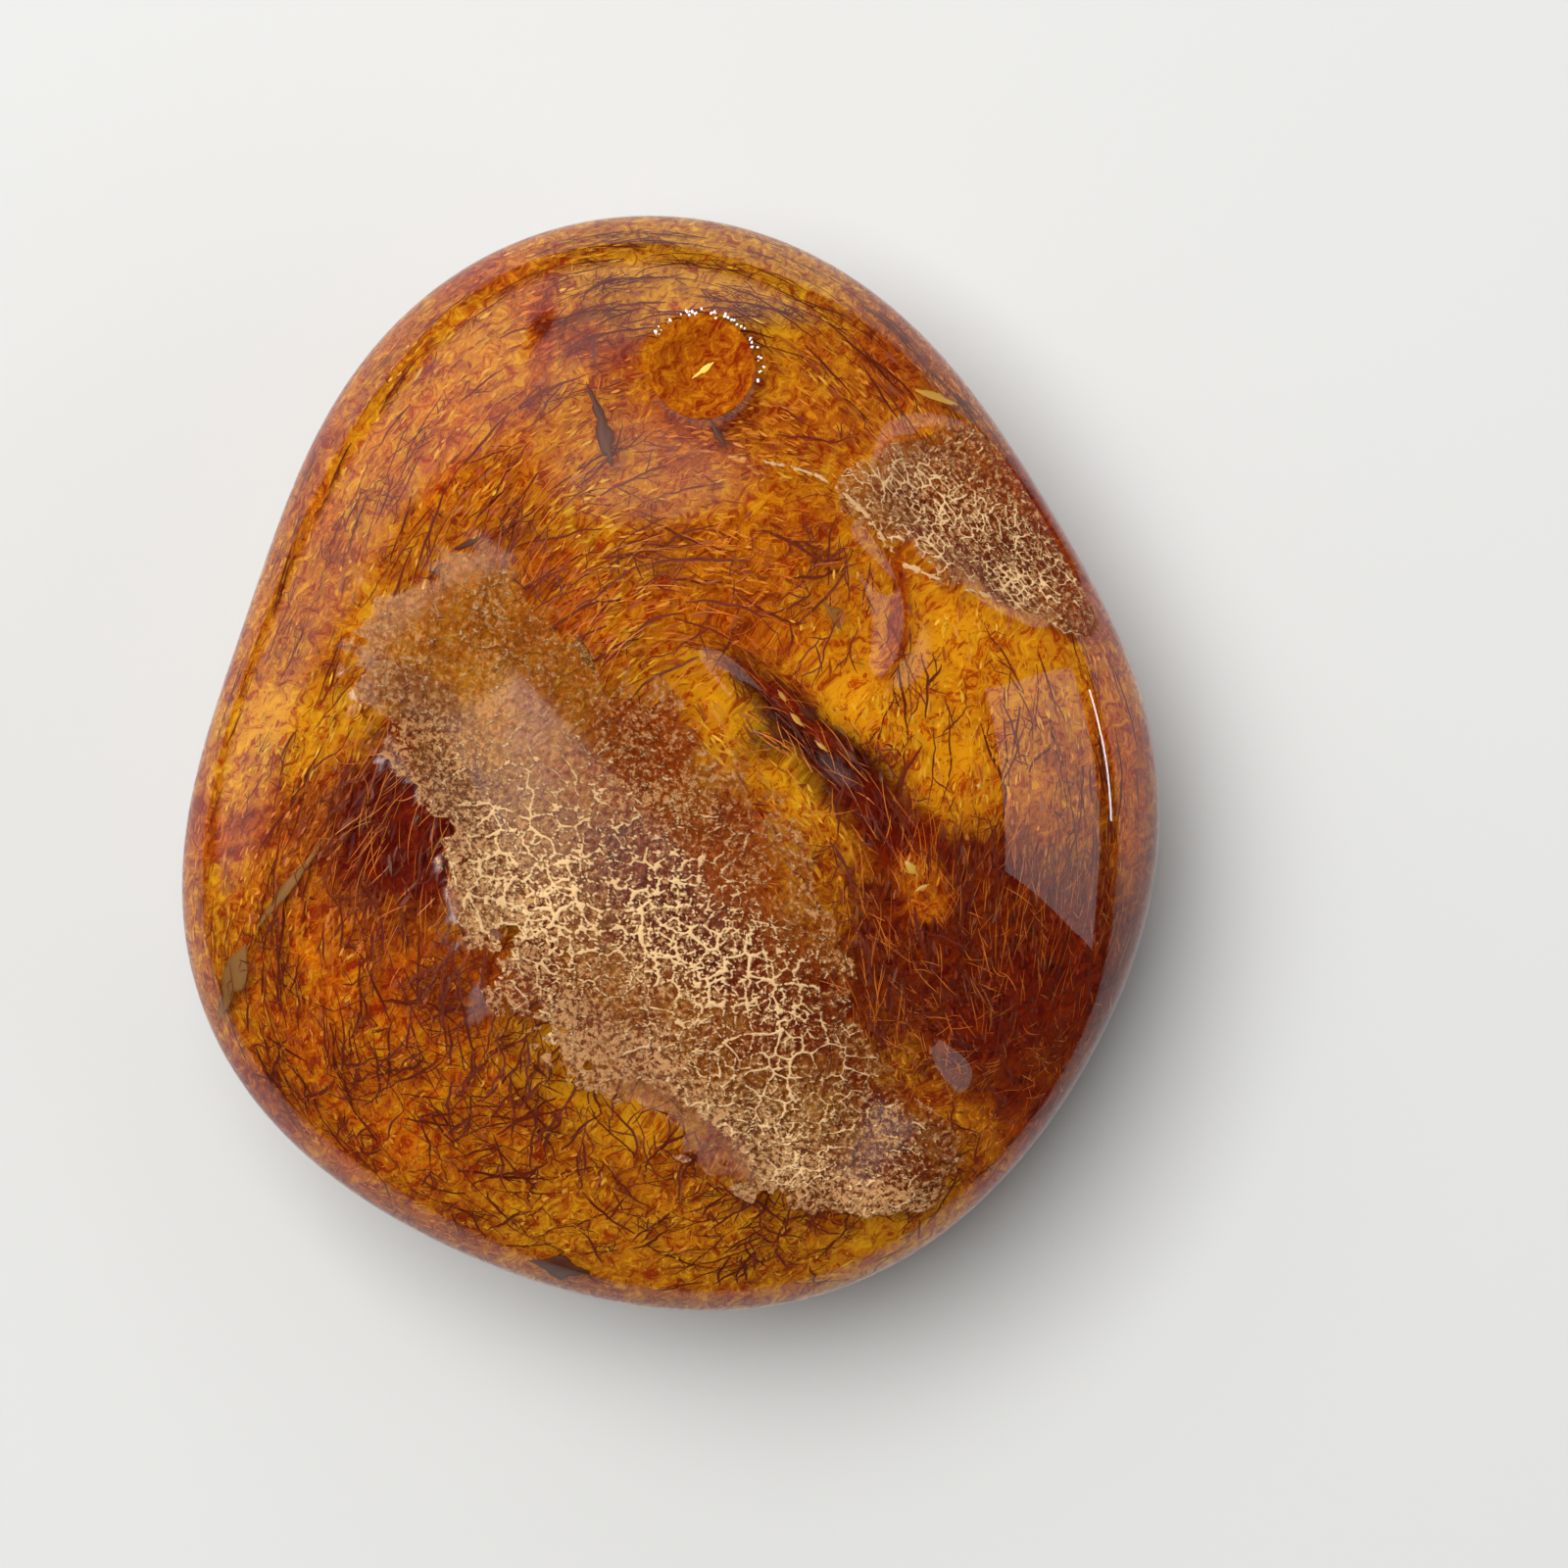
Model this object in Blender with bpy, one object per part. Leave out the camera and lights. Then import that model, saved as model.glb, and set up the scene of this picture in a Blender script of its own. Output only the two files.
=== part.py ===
"""A polished amber stone, lying on its broad back.

The stone is one grown piece of fossil resin, so it is one solid: a rounded pebble whose upper
face has two crust-lined hollows, a cleft, a round dimple, a boss and a few soft swells. It
stands on a small flat spot ground on its back. The frame's origin is the middle of its box at
the height of that spot, +Y runs along its longer side and +Z points up out of its shown face.
Lengths are in millimetres until the mesh is written, which is in metres.
"""

import math

import bmesh
import bpy
import numpy as np

MM = 0.001

# Plan outline: distance from the middle every 30 degrees, anticlockwise from +X
PLAN_RADII = (35.2, 33.1, 36.1, 39.9, 38.4, 33.7, 34.7, 39.1, 39.2, 40.2, 39.7, 37.0)

# The widest ring lies at this height, lower on the +X side by the lean
RING_HEIGHT = 18.6
RING_LEAN = 2.5
CROWN_RISE = 10.5
BACK_DEPTH = 20.0
CROWN_FULLNESS = 2.4
BACK_FULLNESS = 2.3

# The back is ground flat at height 0, with this much of a rounded margin
FLAT_MARGIN = 0.35

# Relief fades out between these shares of the way from the ring up to the crown
RELIEF_STARTS = 0.16
RELIEF_FULL = 0.55

# Hollows and grooves: points along the floor, half widths there, depth, how far out from the
# floor each bank starts to rise on the left of the path and on its right, and over how many
# points each end tapers out
MAIN_HOLLOW = {
    "path": ((-19.0, 11.5), (-12.0, 3.5), (-4.5, -7.0), (3.0, -16.5), (11.0, -24.5), (18.5, -29.5)),
    "half_widths": (6.5, 8.5, 11.8, 11.0, 8.0, 5.0),
    "depth": 2.6,
    "banks": (0.25, 0.50),
    "taper": 0.9,
}
SHOULDER_HOLLOW = {
    "path": ((13.5, 21.5), (20.0, 19.5), (26.0, 15.0), (29.5, 10.5)),
    "half_widths": (3.5, 6.0, 6.0, 3.5),
    "depth": 2.2,
    "banks": (0.30, 0.40),
    "taper": 0.7,
}
CLEFT = {
    "path": ((-1.0, 10.5), (5.5, 6.5), (11.0, 1.5), (16.5, -4.5)),
    "half_widths": (1.5, 3.0, 3.6, 2.0),
    "depth": 1.7,
    "banks": (0.10, 0.10),
    "taper": 1.2,
}
LEFT_CREASE = {
    "path": ((-8.5, 34.0), (-9.0, 30.0), (-11.5, 25.0)),
    "half_widths": (2.5, 2.8, 2.0),
    "depth": 0.7,
    "banks": (0.0, 0.0),
    "taper": 1.0,
}
BOSS_CREASE = {
    "path": ((12.0, 17.5), (15.8, 13.0), (16.2, 8.0), (13.5, 4.5)),
    "half_widths": (1.8, 2.4, 2.6, 1.8),
    "depth": 0.8,
    "banks": (0.0, 0.0),
    "taper": 1.0,
}
GROOVES = (MAIN_HOLLOW, SHOULDER_HOLLOW, CLEFT, LEFT_CREASE, BOSS_CREASE)

# Swells and dips: middle, half widths along and across, turn in degrees, height
BOSS = ((1.5, 14.0), (13.0, 7.5), -12.0, 2.0)
TOP_LEFT_SWELL = ((-16.0, 24.0), (9.0, 7.0), 40.0, 0.9)
TOP_SWELL = ((3.0, 33.0), (12.0, 6.0), 0.0, 0.7)
RIGHT_SWELL = ((23.0, -2.0), (8.0, 13.0), 8.0, 1.8)
LEFT_DIP = ((-21.0, -1.5), (8.0, 10.0), 25.0, -0.9)
LOWER_LEFT_SWELL = ((-19.0, -20.0), (14.0, 9.0), -45.0, 1.1)
LOWER_RIGHT_DIP = ((22.0, -19.0), (9.0, 9.0), 0.0, -1.0)
SWELLS = (
    BOSS,
    TOP_LEFT_SWELL,
    TOP_SWELL,
    RIGHT_SWELL,
    LEFT_DIP,
    LOWER_LEFT_SWELL,
    LOWER_RIGHT_DIP,
)

# The round dimple: middle, radius and depth
DIMPLE_CENTRE = (1.9, 28.1)
DIMPLE_RADIUS = 4.2
DIMPLE_DEPTH = 1.3

# Back: broad undulations of the polish, as height, waves across the stone, and phase
BACK_WAVES = ((0.5, (1.3, 0.8), 0.4), (0.35, (-0.7, 1.9), 1.9))

# The ball that is shaped into the stone, and how near the relief its faces are split once more
BALL_SUBDIVISIONS = 5
FINE_MARGIN = 1.5
PATH_SAMPLES = 12

AMBER_COLOUR = (0.56, 0.19, 0.02, 1.0)
AMBER_ROUGHNESS = 0.06


def clear_scene():
    """Removes whatever the scene holds."""
    for thing in list(bpy.data.objects):
        bpy.data.objects.remove(thing, do_unlink=True)


def smooth_rise(low, high, value):
    """0 up to low, 1 from high on, and a smooth cubic between."""
    share = np.clip((value - low) / (high - low), 0.0, 1.0)
    return share * share * (3.0 - 2.0 * share)


def plan_radius(angle):
    """The outline's radius at an angle: the Fourier series through the stated radii."""
    count = len(PLAN_RADII)
    terms = np.fft.rfft(PLAN_RADII) / count
    radius = np.full_like(angle, terms[0].real)
    for order in range(1, len(terms)):
        weight = 1.0 if 2 * order == count else 2.0
        radius += weight * (terms[order] * np.exp(1j * order * angle)).real
    return radius


def smooth_path(points):
    """Points along the Catmull-Rom curve through the given ones, with each one's place on it."""
    knots = np.array(points, float)
    ends = np.vstack([2 * knots[0] - knots[1], knots, 2 * knots[-1] - knots[-2]])
    places = np.linspace(0.0, len(knots) - 1.0, PATH_SAMPLES * (len(knots) - 1) + 1)
    first = np.minimum(places.astype(int), len(knots) - 2)
    t = (places - first)[:, None]
    a, b, c, d = (ends[first + step] for step in range(4))
    curve = 0.5 * (
        2 * b + (c - a) * t + (2 * a - 5 * b + 4 * c - d) * t**2 + (3 * b - a - 3 * c + d) * t**3
    )
    return curve, places


def across_path(x, y, groove):
    """How far each point lies from a groove's floor line, in half widths, on which side, and
    how much of its depth the groove has there."""
    curve, places = smooth_path(groove["path"])
    step = np.stack([x[:, None] - curve[:, 0], y[:, None] - curve[:, 1]], axis=-1)
    distance = np.hypot(step[..., 0], step[..., 1])
    nearest = distance.argmin(axis=1)
    along = np.gradient(curve, axis=0)[nearest]
    offset = step[np.arange(len(x)), nearest]
    left = along[:, 0] * offset[:, 1] - along[:, 1] * offset[:, 0] > 0
    knots = np.arange(len(groove["half_widths"]))
    half_width = np.interp(places[nearest], knots, groove["half_widths"])
    ends = np.minimum(places[nearest], knots[-1] - places[nearest])
    return distance.min(axis=1) / half_width, left, smooth_rise(0.0, groove["taper"], ends)


def groove_depth(x, y, groove):
    """A groove's floor is its full depth down, and each bank rises from there to its rim."""
    share, left, fullness = across_path(x, y, groove)
    left_bank, right_bank = groove["banks"]
    rise = np.where(left, smooth_rise(left_bank, 1.0, share), smooth_rise(right_bank, 1.0, share))
    return -groove["depth"] * fullness * (1.0 - rise)


def swell_height(x, y, swell):
    """A soft oval rise or dip, falling off as a Gaussian of the distance in half widths."""
    (cx, cy), (along, across), turn, height = swell
    c, s = math.cos(math.radians(turn)), math.sin(math.radians(turn))
    u = ((x - cx) * c + (y - cy) * s) / along
    v = ((y - cy) * c - (x - cx) * s) / across
    return height * np.exp(-(u * u + v * v))


def dimple_depth(x, y):
    """A shallow round bowl with a firm rim."""
    share = np.hypot(x - DIMPLE_CENTRE[0], y - DIMPLE_CENTRE[1]) / DIMPLE_RADIUS
    return -DIMPLE_DEPTH * (1.0 - smooth_rise(0.15, 1.0, share))


def face_relief(x, y):
    """Everything that stands up or sinks in on the shown face."""
    relief = dimple_depth(x, y)
    for groove in GROOVES:
        relief += groove_depth(x, y, groove)
    for swell in SWELLS:
        relief += swell_height(x, y, swell)
    return relief


def back_relief(x, y):
    """Broad waves of the polish on the back."""
    relief = np.zeros_like(x)
    for height, (kx, ky), phase in BACK_WAVES:
        relief += height * np.sin((kx * x + ky * y) / max(PLAN_RADII) * math.pi + phase)
    return relief


def ground_flat(z):
    """Heights below the margin become exactly 0, and the rest meet that flat spot smoothly."""
    eased = (z + FLAT_MARGIN) ** 2 / (4.0 * FLAT_MARGIN)
    return np.where(z <= -FLAT_MARGIN, 0.0, np.where(z < FLAT_MARGIN, eased, z))


def stone_surface(directions):
    """The stone's point for each direction out of its middle.

    Seen from above the way out is the direction's compass angle, and the share of the outline's
    radius reached is a power of its level part. The height is the crown's or the back's, times
    the upright part, with the relief added.
    """
    dx, dy, dz = directions.T
    level = np.hypot(dx, dy)
    angle = np.arctan2(dy, dx)
    upper = dz >= 0
    fullness = np.where(upper, CROWN_FULLNESS, BACK_FULLNESS)
    radius = plan_radius(angle) * level ** (2.0 / fullness)
    x, y = radius * np.cos(angle), radius * np.sin(angle)
    ring = RING_HEIGHT - RING_LEAN * np.cos(angle) * level
    rise = np.where(upper, CROWN_RISE, BACK_DEPTH) * dz
    weight = smooth_rise(RELIEF_STARTS, RELIEF_FULL, np.abs(dz))
    relief = np.where(upper, face_relief(x, y), back_relief(x, y)) * weight
    return np.stack([x, y, ground_flat(ring + rise + relief)], axis=1)


def near_relief(points):
    """True where the shown face has a groove or the dimple close by, so that it needs more faces."""
    x, y, z = points.T
    near = np.hypot(x - DIMPLE_CENTRE[0], y - DIMPLE_CENTRE[1]) < DIMPLE_RADIUS + FINE_MARGIN
    for groove in GROOVES:
        share, _, fullness = across_path(x, y, groove)
        margin = FINE_MARGIN / max(groove["half_widths"])
        near |= (share < 1.0 + margin) & (fullness > 0.0)
    return near & (z > RING_HEIGHT)


def directions_of(ball):
    """Each vertex of the ball as a unit vector."""
    places = np.array([vertex.co for vertex in ball.verts], float)
    return places / np.linalg.norm(places, axis=1, keepdims=True)


def make_stone(collection):
    """Shapes a ball into the stone, after splitting its faces where the relief is fine."""
    ball = bmesh.new()
    bmesh.ops.create_icosphere(ball, subdivisions=BALL_SUBDIVISIONS, radius=1.0)
    ball.verts.index_update()
    fine = near_relief(stone_surface(directions_of(ball)))
    edges = [edge for edge in ball.edges if all(fine[vertex.index] for vertex in edge.verts)]
    bmesh.ops.subdivide_edges(ball, edges=edges, cuts=1, use_grid_fill=True)
    bmesh.ops.triangulate(ball, faces=ball.faces[:])
    points = stone_surface(directions_of(ball))
    middle = (points.min(axis=0) + points.max(axis=0)) / 2.0
    points[:, :2] -= middle[:2]
    for vertex, point in zip(ball.verts, points * MM):
        vertex.co = point
    bmesh.ops.recalc_face_normals(ball, faces=ball.faces[:])
    mesh = bpy.data.meshes.new("amber_stone")
    ball.to_mesh(mesh)
    ball.free()
    mesh.shade_smooth()
    stone = bpy.data.objects.new("amber_stone", mesh)
    collection.objects.link(stone)
    return stone


def make_amber():
    """The polished amber's plain finish."""
    material = bpy.data.materials.new("polished_amber")
    material.use_nodes = True
    shader = material.node_tree.nodes["Principled BSDF"]
    shader.inputs["Base Color"].default_value = AMBER_COLOUR
    shader.inputs["Roughness"].default_value = AMBER_ROUGHNESS
    shader.inputs["Metallic"].default_value = 0.0
    return material


def main():
    clear_scene()
    collection = bpy.data.collections.new("Amber stone")
    bpy.context.scene.collection.children.link(collection)
    stone = make_stone(collection)
    stone.data.materials.append(make_amber())


main()
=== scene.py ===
# %% [markdown]
# # A polished amber stone
#
# Amber is tree resin that has turned to stone. This lump is ground and polished to a rounded
# pebble, and it shows three things at once: a glossy skin, a deep orange inside that is full of
# veins and fibres, and a tan crust that was left in the hollows, where no polishing wheel gets.
#
# Each of the three is made on its own here. The skin is one clear closed surface that bends and
# tints light. Inside it lies a cloudy body with the stone's colours, with threads, flakes and
# crumbs floating above it. The crust is a thin lace of ridges that lies on the hollows' floors.

import math

import bpy
import numpy as np
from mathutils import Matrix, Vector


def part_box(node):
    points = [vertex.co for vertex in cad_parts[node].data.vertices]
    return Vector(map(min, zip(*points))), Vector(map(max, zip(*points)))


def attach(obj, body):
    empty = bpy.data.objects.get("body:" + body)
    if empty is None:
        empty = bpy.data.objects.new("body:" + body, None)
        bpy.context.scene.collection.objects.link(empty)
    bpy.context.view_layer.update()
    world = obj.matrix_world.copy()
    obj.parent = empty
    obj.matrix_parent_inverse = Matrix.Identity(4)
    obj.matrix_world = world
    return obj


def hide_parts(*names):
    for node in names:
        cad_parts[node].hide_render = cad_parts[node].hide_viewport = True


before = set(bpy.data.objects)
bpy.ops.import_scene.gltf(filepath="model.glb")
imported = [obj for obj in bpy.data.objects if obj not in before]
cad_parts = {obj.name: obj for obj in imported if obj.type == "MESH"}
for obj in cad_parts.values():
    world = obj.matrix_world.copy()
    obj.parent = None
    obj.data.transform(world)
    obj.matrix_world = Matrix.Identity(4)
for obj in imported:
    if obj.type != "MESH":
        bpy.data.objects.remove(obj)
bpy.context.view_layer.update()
low_corner, high_corner = (np.array(corner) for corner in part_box("amber_stone"))
print("The stone's box in metres:", low_corner.round(4), high_corner.round(4))

# %% [markdown]
# ## Numbers that shape the stone
#
# All lengths below are millimetres, and x, y is the plan, with the stone seen from above. The
# outline is twelve distances from its middle. The face has a long hollow from the upper left to
# the lower right, a smaller one on the right shoulder, a cleft, a round dimple and soft swells.

# %% The stone's numbers
MM = 0.001

PLAN_RADII = (35.2, 33.1, 36.1, 39.9, 38.4, 33.7, 34.7, 39.1, 39.2, 40.2, 39.7, 37.0)
RING_HEIGHT = 18.6
RING_LEAN = 2.5
CROWN_RISE = 10.5
BACK_DEPTH = 20.0
CROWN_FULLNESS = 2.4
BACK_FULLNESS = 2.3
FLAT_MARGIN = 0.35
RELIEF_STARTS = 0.16
RELIEF_FULL = 0.55

# Grooves: the floor line's points, the half width at each, the depth, how far out the left and
# the right bank start to rise, in half widths, and over how many points both ends fade in
MAIN_HOLLOW = {
    "path": ((-19.0, 11.5), (-12.0, 3.5), (-4.5, -7.0), (3.0, -16.5), (11.0, -24.5), (18.5, -29.5)),
    "half_widths": (6.5, 8.5, 11.8, 11.0, 8.0, 5.0),
    "depth": 2.6,
    "banks": (0.25, 0.50),
    "taper": 0.9,
}
SHOULDER_HOLLOW = {
    "path": ((13.5, 21.5), (20.0, 19.5), (26.0, 15.0), (29.5, 10.5)),
    "half_widths": (3.5, 6.0, 6.0, 3.5),
    "depth": 2.2,
    "banks": (0.30, 0.40),
    "taper": 0.7,
}
CLEFT = {
    "path": ((-1.0, 10.5), (5.5, 6.5), (11.0, 1.5), (16.5, -4.5)),
    "half_widths": (1.5, 3.0, 3.6, 2.0),
    "depth": 1.7,
    "banks": (0.10, 0.10),
    "taper": 1.2,
}
LEFT_CREASE = {
    "path": ((-8.5, 34.0), (-9.0, 30.0), (-11.5, 25.0)),
    "half_widths": (2.5, 2.8, 2.0),
    "depth": 0.7,
    "banks": (0.0, 0.0),
    "taper": 1.0,
}
BOSS_CREASE = {
    "path": ((12.0, 17.5), (15.8, 13.0), (16.2, 8.0), (13.5, 4.5)),
    "half_widths": (1.8, 2.4, 2.6, 1.8),
    "depth": 0.8,
    "banks": (0.0, 0.0),
    "taper": 1.0,
}
GROOVES = (MAIN_HOLLOW, SHOULDER_HOLLOW, CLEFT, LEFT_CREASE, BOSS_CREASE)

# Swells and dips: middle, half widths along and across, turn in degrees, height
SWELLS = (
    ((1.5, 14.0), (13.0, 7.5), -12.0, 2.0),
    ((-16.0, 24.0), (9.0, 7.0), 40.0, 0.9),
    ((3.0, 33.0), (12.0, 6.0), 0.0, 0.7),
    ((23.0, -2.0), (8.0, 13.0), 8.0, 1.8),
    ((-21.0, -1.5), (8.0, 10.0), 25.0, -0.9),
    ((-19.0, -20.0), (14.0, 9.0), -45.0, 1.1),
    ((22.0, -19.0), (9.0, 9.0), 0.0, -1.0),
)
DIMPLE_CENTRE = (1.9, 28.1)
DIMPLE_RADIUS = 4.2
DIMPLE_DEPTH = 1.3
DIMPLE_FLAT = 0.15
BACK_WAVES = ((0.5, (1.3, 0.8), 0.4), (0.35, (-0.7, 1.9), 1.9))
PATH_SAMPLES = 12

# %% [markdown]
# ## The outline and the grooves
#
# A soft outline is a sum of a few cosines, so that it has no corner anywhere. A groove is a
# smooth curve on the plan, and its depth depends only on how far away that curve is.

# %% Outline, paths and relief


def smooth_rise(low, high, value):
    """0 up to low, 1 from high on, and between them the share s squared times (3 - 2 s)."""
    share = np.clip((value - low) / (high - low), 0.0, 1.0)
    return share * share * (3.0 - 2.0 * share)


def plan_radius(angle):
    """The outline's distance from the middle: the cosine series through the twelve radii."""
    count = len(PLAN_RADII)
    terms = np.fft.rfft(PLAN_RADII) / count
    radius = np.full_like(angle, terms[0].real)
    for order in range(1, len(terms)):
        weight = 1.0 if 2 * order == count else 2.0
        radius += weight * (terms[order] * np.exp(1j * order * angle)).real
    return radius


def smooth_path(points, samples=PATH_SAMPLES):
    """A Catmull-Rom curve: each span is the cubic that leaves a point along the line between
    its neighbours. Returns the curve and each sample's place, counted in points."""
    knots = np.array(points, float)
    ends = np.vstack([2 * knots[0] - knots[1], knots, 2 * knots[-1] - knots[-2]])
    places = np.linspace(0.0, len(knots) - 1.0, samples * (len(knots) - 1) + 1)
    first = np.minimum(places.astype(int), len(knots) - 2)
    t = (places - first)[:, None]
    a, b, c, d = (ends[first + step] for step in range(4))
    curve = 0.5 * (
        2 * b + (c - a) * t + (2 * a - 5 * b + 4 * c - d) * t**2 + (3 * b - a - 3 * c + d) * t**3
    )
    return curve, places


def across_path(x, y, groove):
    """The distance from a groove's floor line in half widths, whether that is on the line's
    left, and how full the groove is there. The nearest sample of the line is found first, and
    then the foot of the perpendicular between it and its neighbours."""
    curve, places = smooth_path(groove["path"])
    nearest = np.zeros(x.shape, int)
    least = np.full(x.shape, np.inf)
    for index, (cx, cy) in enumerate(curve):
        distance = np.hypot(x - cx, y - cy)
        closer = distance < least
        nearest[closer] = index
        least = np.minimum(least, distance)
    step = np.gradient(curve, axis=0)[nearest]
    offset_x, offset_y = x - curve[nearest, 0], y - curve[nearest, 1]
    left = step[..., 0] * offset_y - step[..., 1] * offset_x > 0
    length = (step**2).sum(axis=-1)
    ahead = np.clip((step[..., 0] * offset_x + step[..., 1] * offset_y) / length, -0.5, 0.5)
    off_line = np.sqrt(np.maximum(least**2 - ahead**2 * length, 0.0))
    place = np.interp(nearest + ahead, np.arange(len(places)), places)
    knots = np.arange(len(groove["half_widths"]))
    half_width = np.interp(place, knots, groove["half_widths"])
    ends = np.minimum(place, knots[-1] - place)
    return off_line / half_width, left, smooth_rise(0.0, groove["taper"], ends)


def groove_depth(x, y, groove):
    """Full depth at the floor, and from each bank's start a smooth rise to the rim."""
    share, left, fullness = across_path(x, y, groove)
    left_bank, right_bank = groove["banks"]
    rise = np.where(left, smooth_rise(left_bank, 1.0, share), smooth_rise(right_bank, 1.0, share))
    return -groove["depth"] * fullness * (1.0 - rise)


def oval(x, y, centre, halves, turn):
    """The distance from an oval's middle in half widths: the length of the point's offset,
    turned into the oval's own directions and divided by its half widths."""
    c, s = math.cos(math.radians(turn)), math.sin(math.radians(turn))
    u = ((x - centre[0]) * c + (y - centre[1]) * s) / halves[0]
    v = ((y - centre[1]) * c - (x - centre[0]) * s) / halves[1]
    return np.hypot(u, v)


def bell(x, y, centre, halves, turn):
    """1 in an oval's middle and soft all round: e to the minus the oval distance squared."""
    return np.exp(-oval(x, y, centre, halves, turn) ** 2)


def face_relief(x, y):
    """The sum of the dimple's bowl, the grooves and the swells."""
    bowl = np.hypot(x - DIMPLE_CENTRE[0], y - DIMPLE_CENTRE[1]) / DIMPLE_RADIUS
    relief = -DIMPLE_DEPTH * (1.0 - smooth_rise(DIMPLE_FLAT, 1.0, bowl))
    for groove in GROOVES:
        relief = relief + groove_depth(x, y, groove)
    for centre, halves, turn, height in SWELLS:
        relief = relief + height * bell(x, y, centre, halves, turn)
    return relief


def back_relief(x, y):
    """Broad waves of the polish: a few sines of the place on the plan."""
    relief = np.zeros_like(x)
    for height, (kx, ky), phase in BACK_WAVES:
        relief += height * np.sin((kx * x + ky * y) / max(PLAN_RADII) * math.pi + phase)
    return relief


# %% [markdown]
# ## The stone's surface as a function
#
# Two numbers find any place on the stone: the compass angle, and how far up it is, from -1 at
# the middle of the back through 0 at the widest ring to 1 at the top of the crown. The same
# function, with smaller sizes, later gives the cloudy body inside, so the two always nest.

# %% Surface function
WHOLE = {"plan": 0.0, "crown": 0.0, "back": 0.0, "relief": 1.0}


def stone_surface(angle, up, inset=WHOLE):
    """A point for each compass angle and upright share.

    The level share is what is left of 1 by Pythagoras. The plan radius times a power of it is
    the way out, and the crown's or the back's rise times the upright share is the height. Close
    to the floor the height eases into 0, which is the flat spot that the stone lies on.
    """
    level = np.sqrt(np.clip(1.0 - up * up, 0.0, 1.0))
    upper = up >= 0
    fullness = np.where(upper, CROWN_FULLNESS, BACK_FULLNESS)
    radius = (plan_radius(angle) - inset["plan"]) * level ** (2.0 / fullness)
    x, y = radius * np.cos(angle), radius * np.sin(angle)
    ring = RING_HEIGHT - RING_LEAN * np.cos(angle) * level
    rise = np.where(upper, CROWN_RISE - inset["crown"], BACK_DEPTH - inset["back"]) * up
    weight = smooth_rise(RELIEF_STARTS, RELIEF_FULL, np.abs(up)) * inset["relief"]
    relief = np.where(upper, face_relief(x, y), back_relief(x, y)) * weight
    z = ring + rise + relief
    eased = (z + FLAT_MARGIN) ** 2 / (4.0 * FLAT_MARGIN)
    flat = np.where(z <= -FLAT_MARGIN, 0.0, np.where(z < FLAT_MARGIN, eased, z))
    return np.stack([x, y, flat], axis=-1)


def crown_height(x, y):
    """The crown's height at a place on the plan: the surface function solved for the height."""
    angle = np.arctan2(y, x)
    reach = np.clip(np.hypot(x, y) / plan_radius(angle), 0.0, 1.0)
    level = reach ** (CROWN_FULLNESS / 2.0)
    up = np.sqrt(np.clip(1.0 - level * level, 0.0, 1.0))
    ring = RING_HEIGHT - RING_LEAN * np.cos(angle) * level
    weight = smooth_rise(RELIEF_STARTS, RELIEF_FULL, up)
    return ring + CROWN_RISE * up + face_relief(x, y) * weight


# %% [markdown]
# ## From a grid of points to a mesh
#
# A closed stone is a grid that runs round the stone and from pole to pole. Its last column joins
# its first, and a fan of triangles closes each pole. The numbers go into the mesh in one go.

# %% Mesh helpers


def grid_faces(rows, columns, wrap):
    """Four corner numbers for each face of a grid, anticlockwise from its lower left. A wrapped
    grid has one more column of faces, from its last column of points to its first."""
    last = columns if wrap else columns - 1
    row, column = np.meshgrid(np.arange(rows - 1), np.arange(last), indexing="ij")
    right = (column + 1) % columns
    this_row, next_row = row * columns, (row + 1) * columns
    corners = [this_row + column, next_row + column, next_row + right, this_row + right]
    return np.stack(corners, axis=-1).reshape(-1, 4)


def to_frame(points):
    """From the stone's own millimetres to the frame's metres, with the box's middle at 0, 0."""
    moved = np.asarray(points, float) - np.array([plan_middle[0], plan_middle[1], 0.0])
    return moved * MM * fit


def make_mesh(name, points, faces, material):
    """Puts millimetre points and faces into a new object that rides on the stone's body."""
    mesh = bpy.data.meshes.new(name)
    mesh.from_pydata(to_frame(points).reshape(-1, 3), [], [tuple(face) for face in faces])
    mesh.validate()
    mesh.shade_smooth()
    mesh.materials.append(material)
    piece = bpy.data.objects.new(name, mesh)
    bpy.context.scene.collection.objects.link(piece)
    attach(piece, "root")
    print(name, len(mesh.vertices), "vertices", len(mesh.polygons), "faces")
    return piece


def closed_shell(rings, around, inset=WHOLE):
    """A grid of the whole stone: rings of points from below the top pole to above the bottom
    pole, then the poles' own points. The upright share is the cosine of an even step."""
    steps = np.linspace(0.0, math.pi, rings + 2)[1:-1]
    turns = np.linspace(0.0, 2.0 * math.pi, around, endpoint=False)
    up, angle = np.meshgrid(np.cos(steps), turns, indexing="ij")
    body = stone_surface(angle, up, inset).reshape(-1, 3)
    poles = stone_surface(np.zeros(2), np.array([1.0, -1.0]), inset)
    faces = grid_faces(rings, around, wrap=True).tolist()
    top, bottom = len(body), len(body) + 1
    first = np.arange(around)
    after = (first + 1) % around
    last_ring = (rings - 1) * around
    top_fan = (np.full(around, top), first, after)
    bottom_fan = (np.full(around, bottom), last_ring + after, last_ring + first)
    for fan in (top_fan, bottom_fan):
        faces += np.stack(fan, axis=1).tolist()
    return np.vstack([body, poles]), faces


# %% How the stone sits in the frame
skin_points, skin_faces = closed_shell(rings=230, around=420)
lowest, highest = skin_points.min(axis=0), skin_points.max(axis=0)
plan_middle = (lowest + highest)[:2] / 2.0
fit = float(min((high_corner - low_corner) / MM / (highest - lowest)))
print("Plan middle", plan_middle.round(3), "and the fit to the solid", round(fit, 5))

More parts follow.
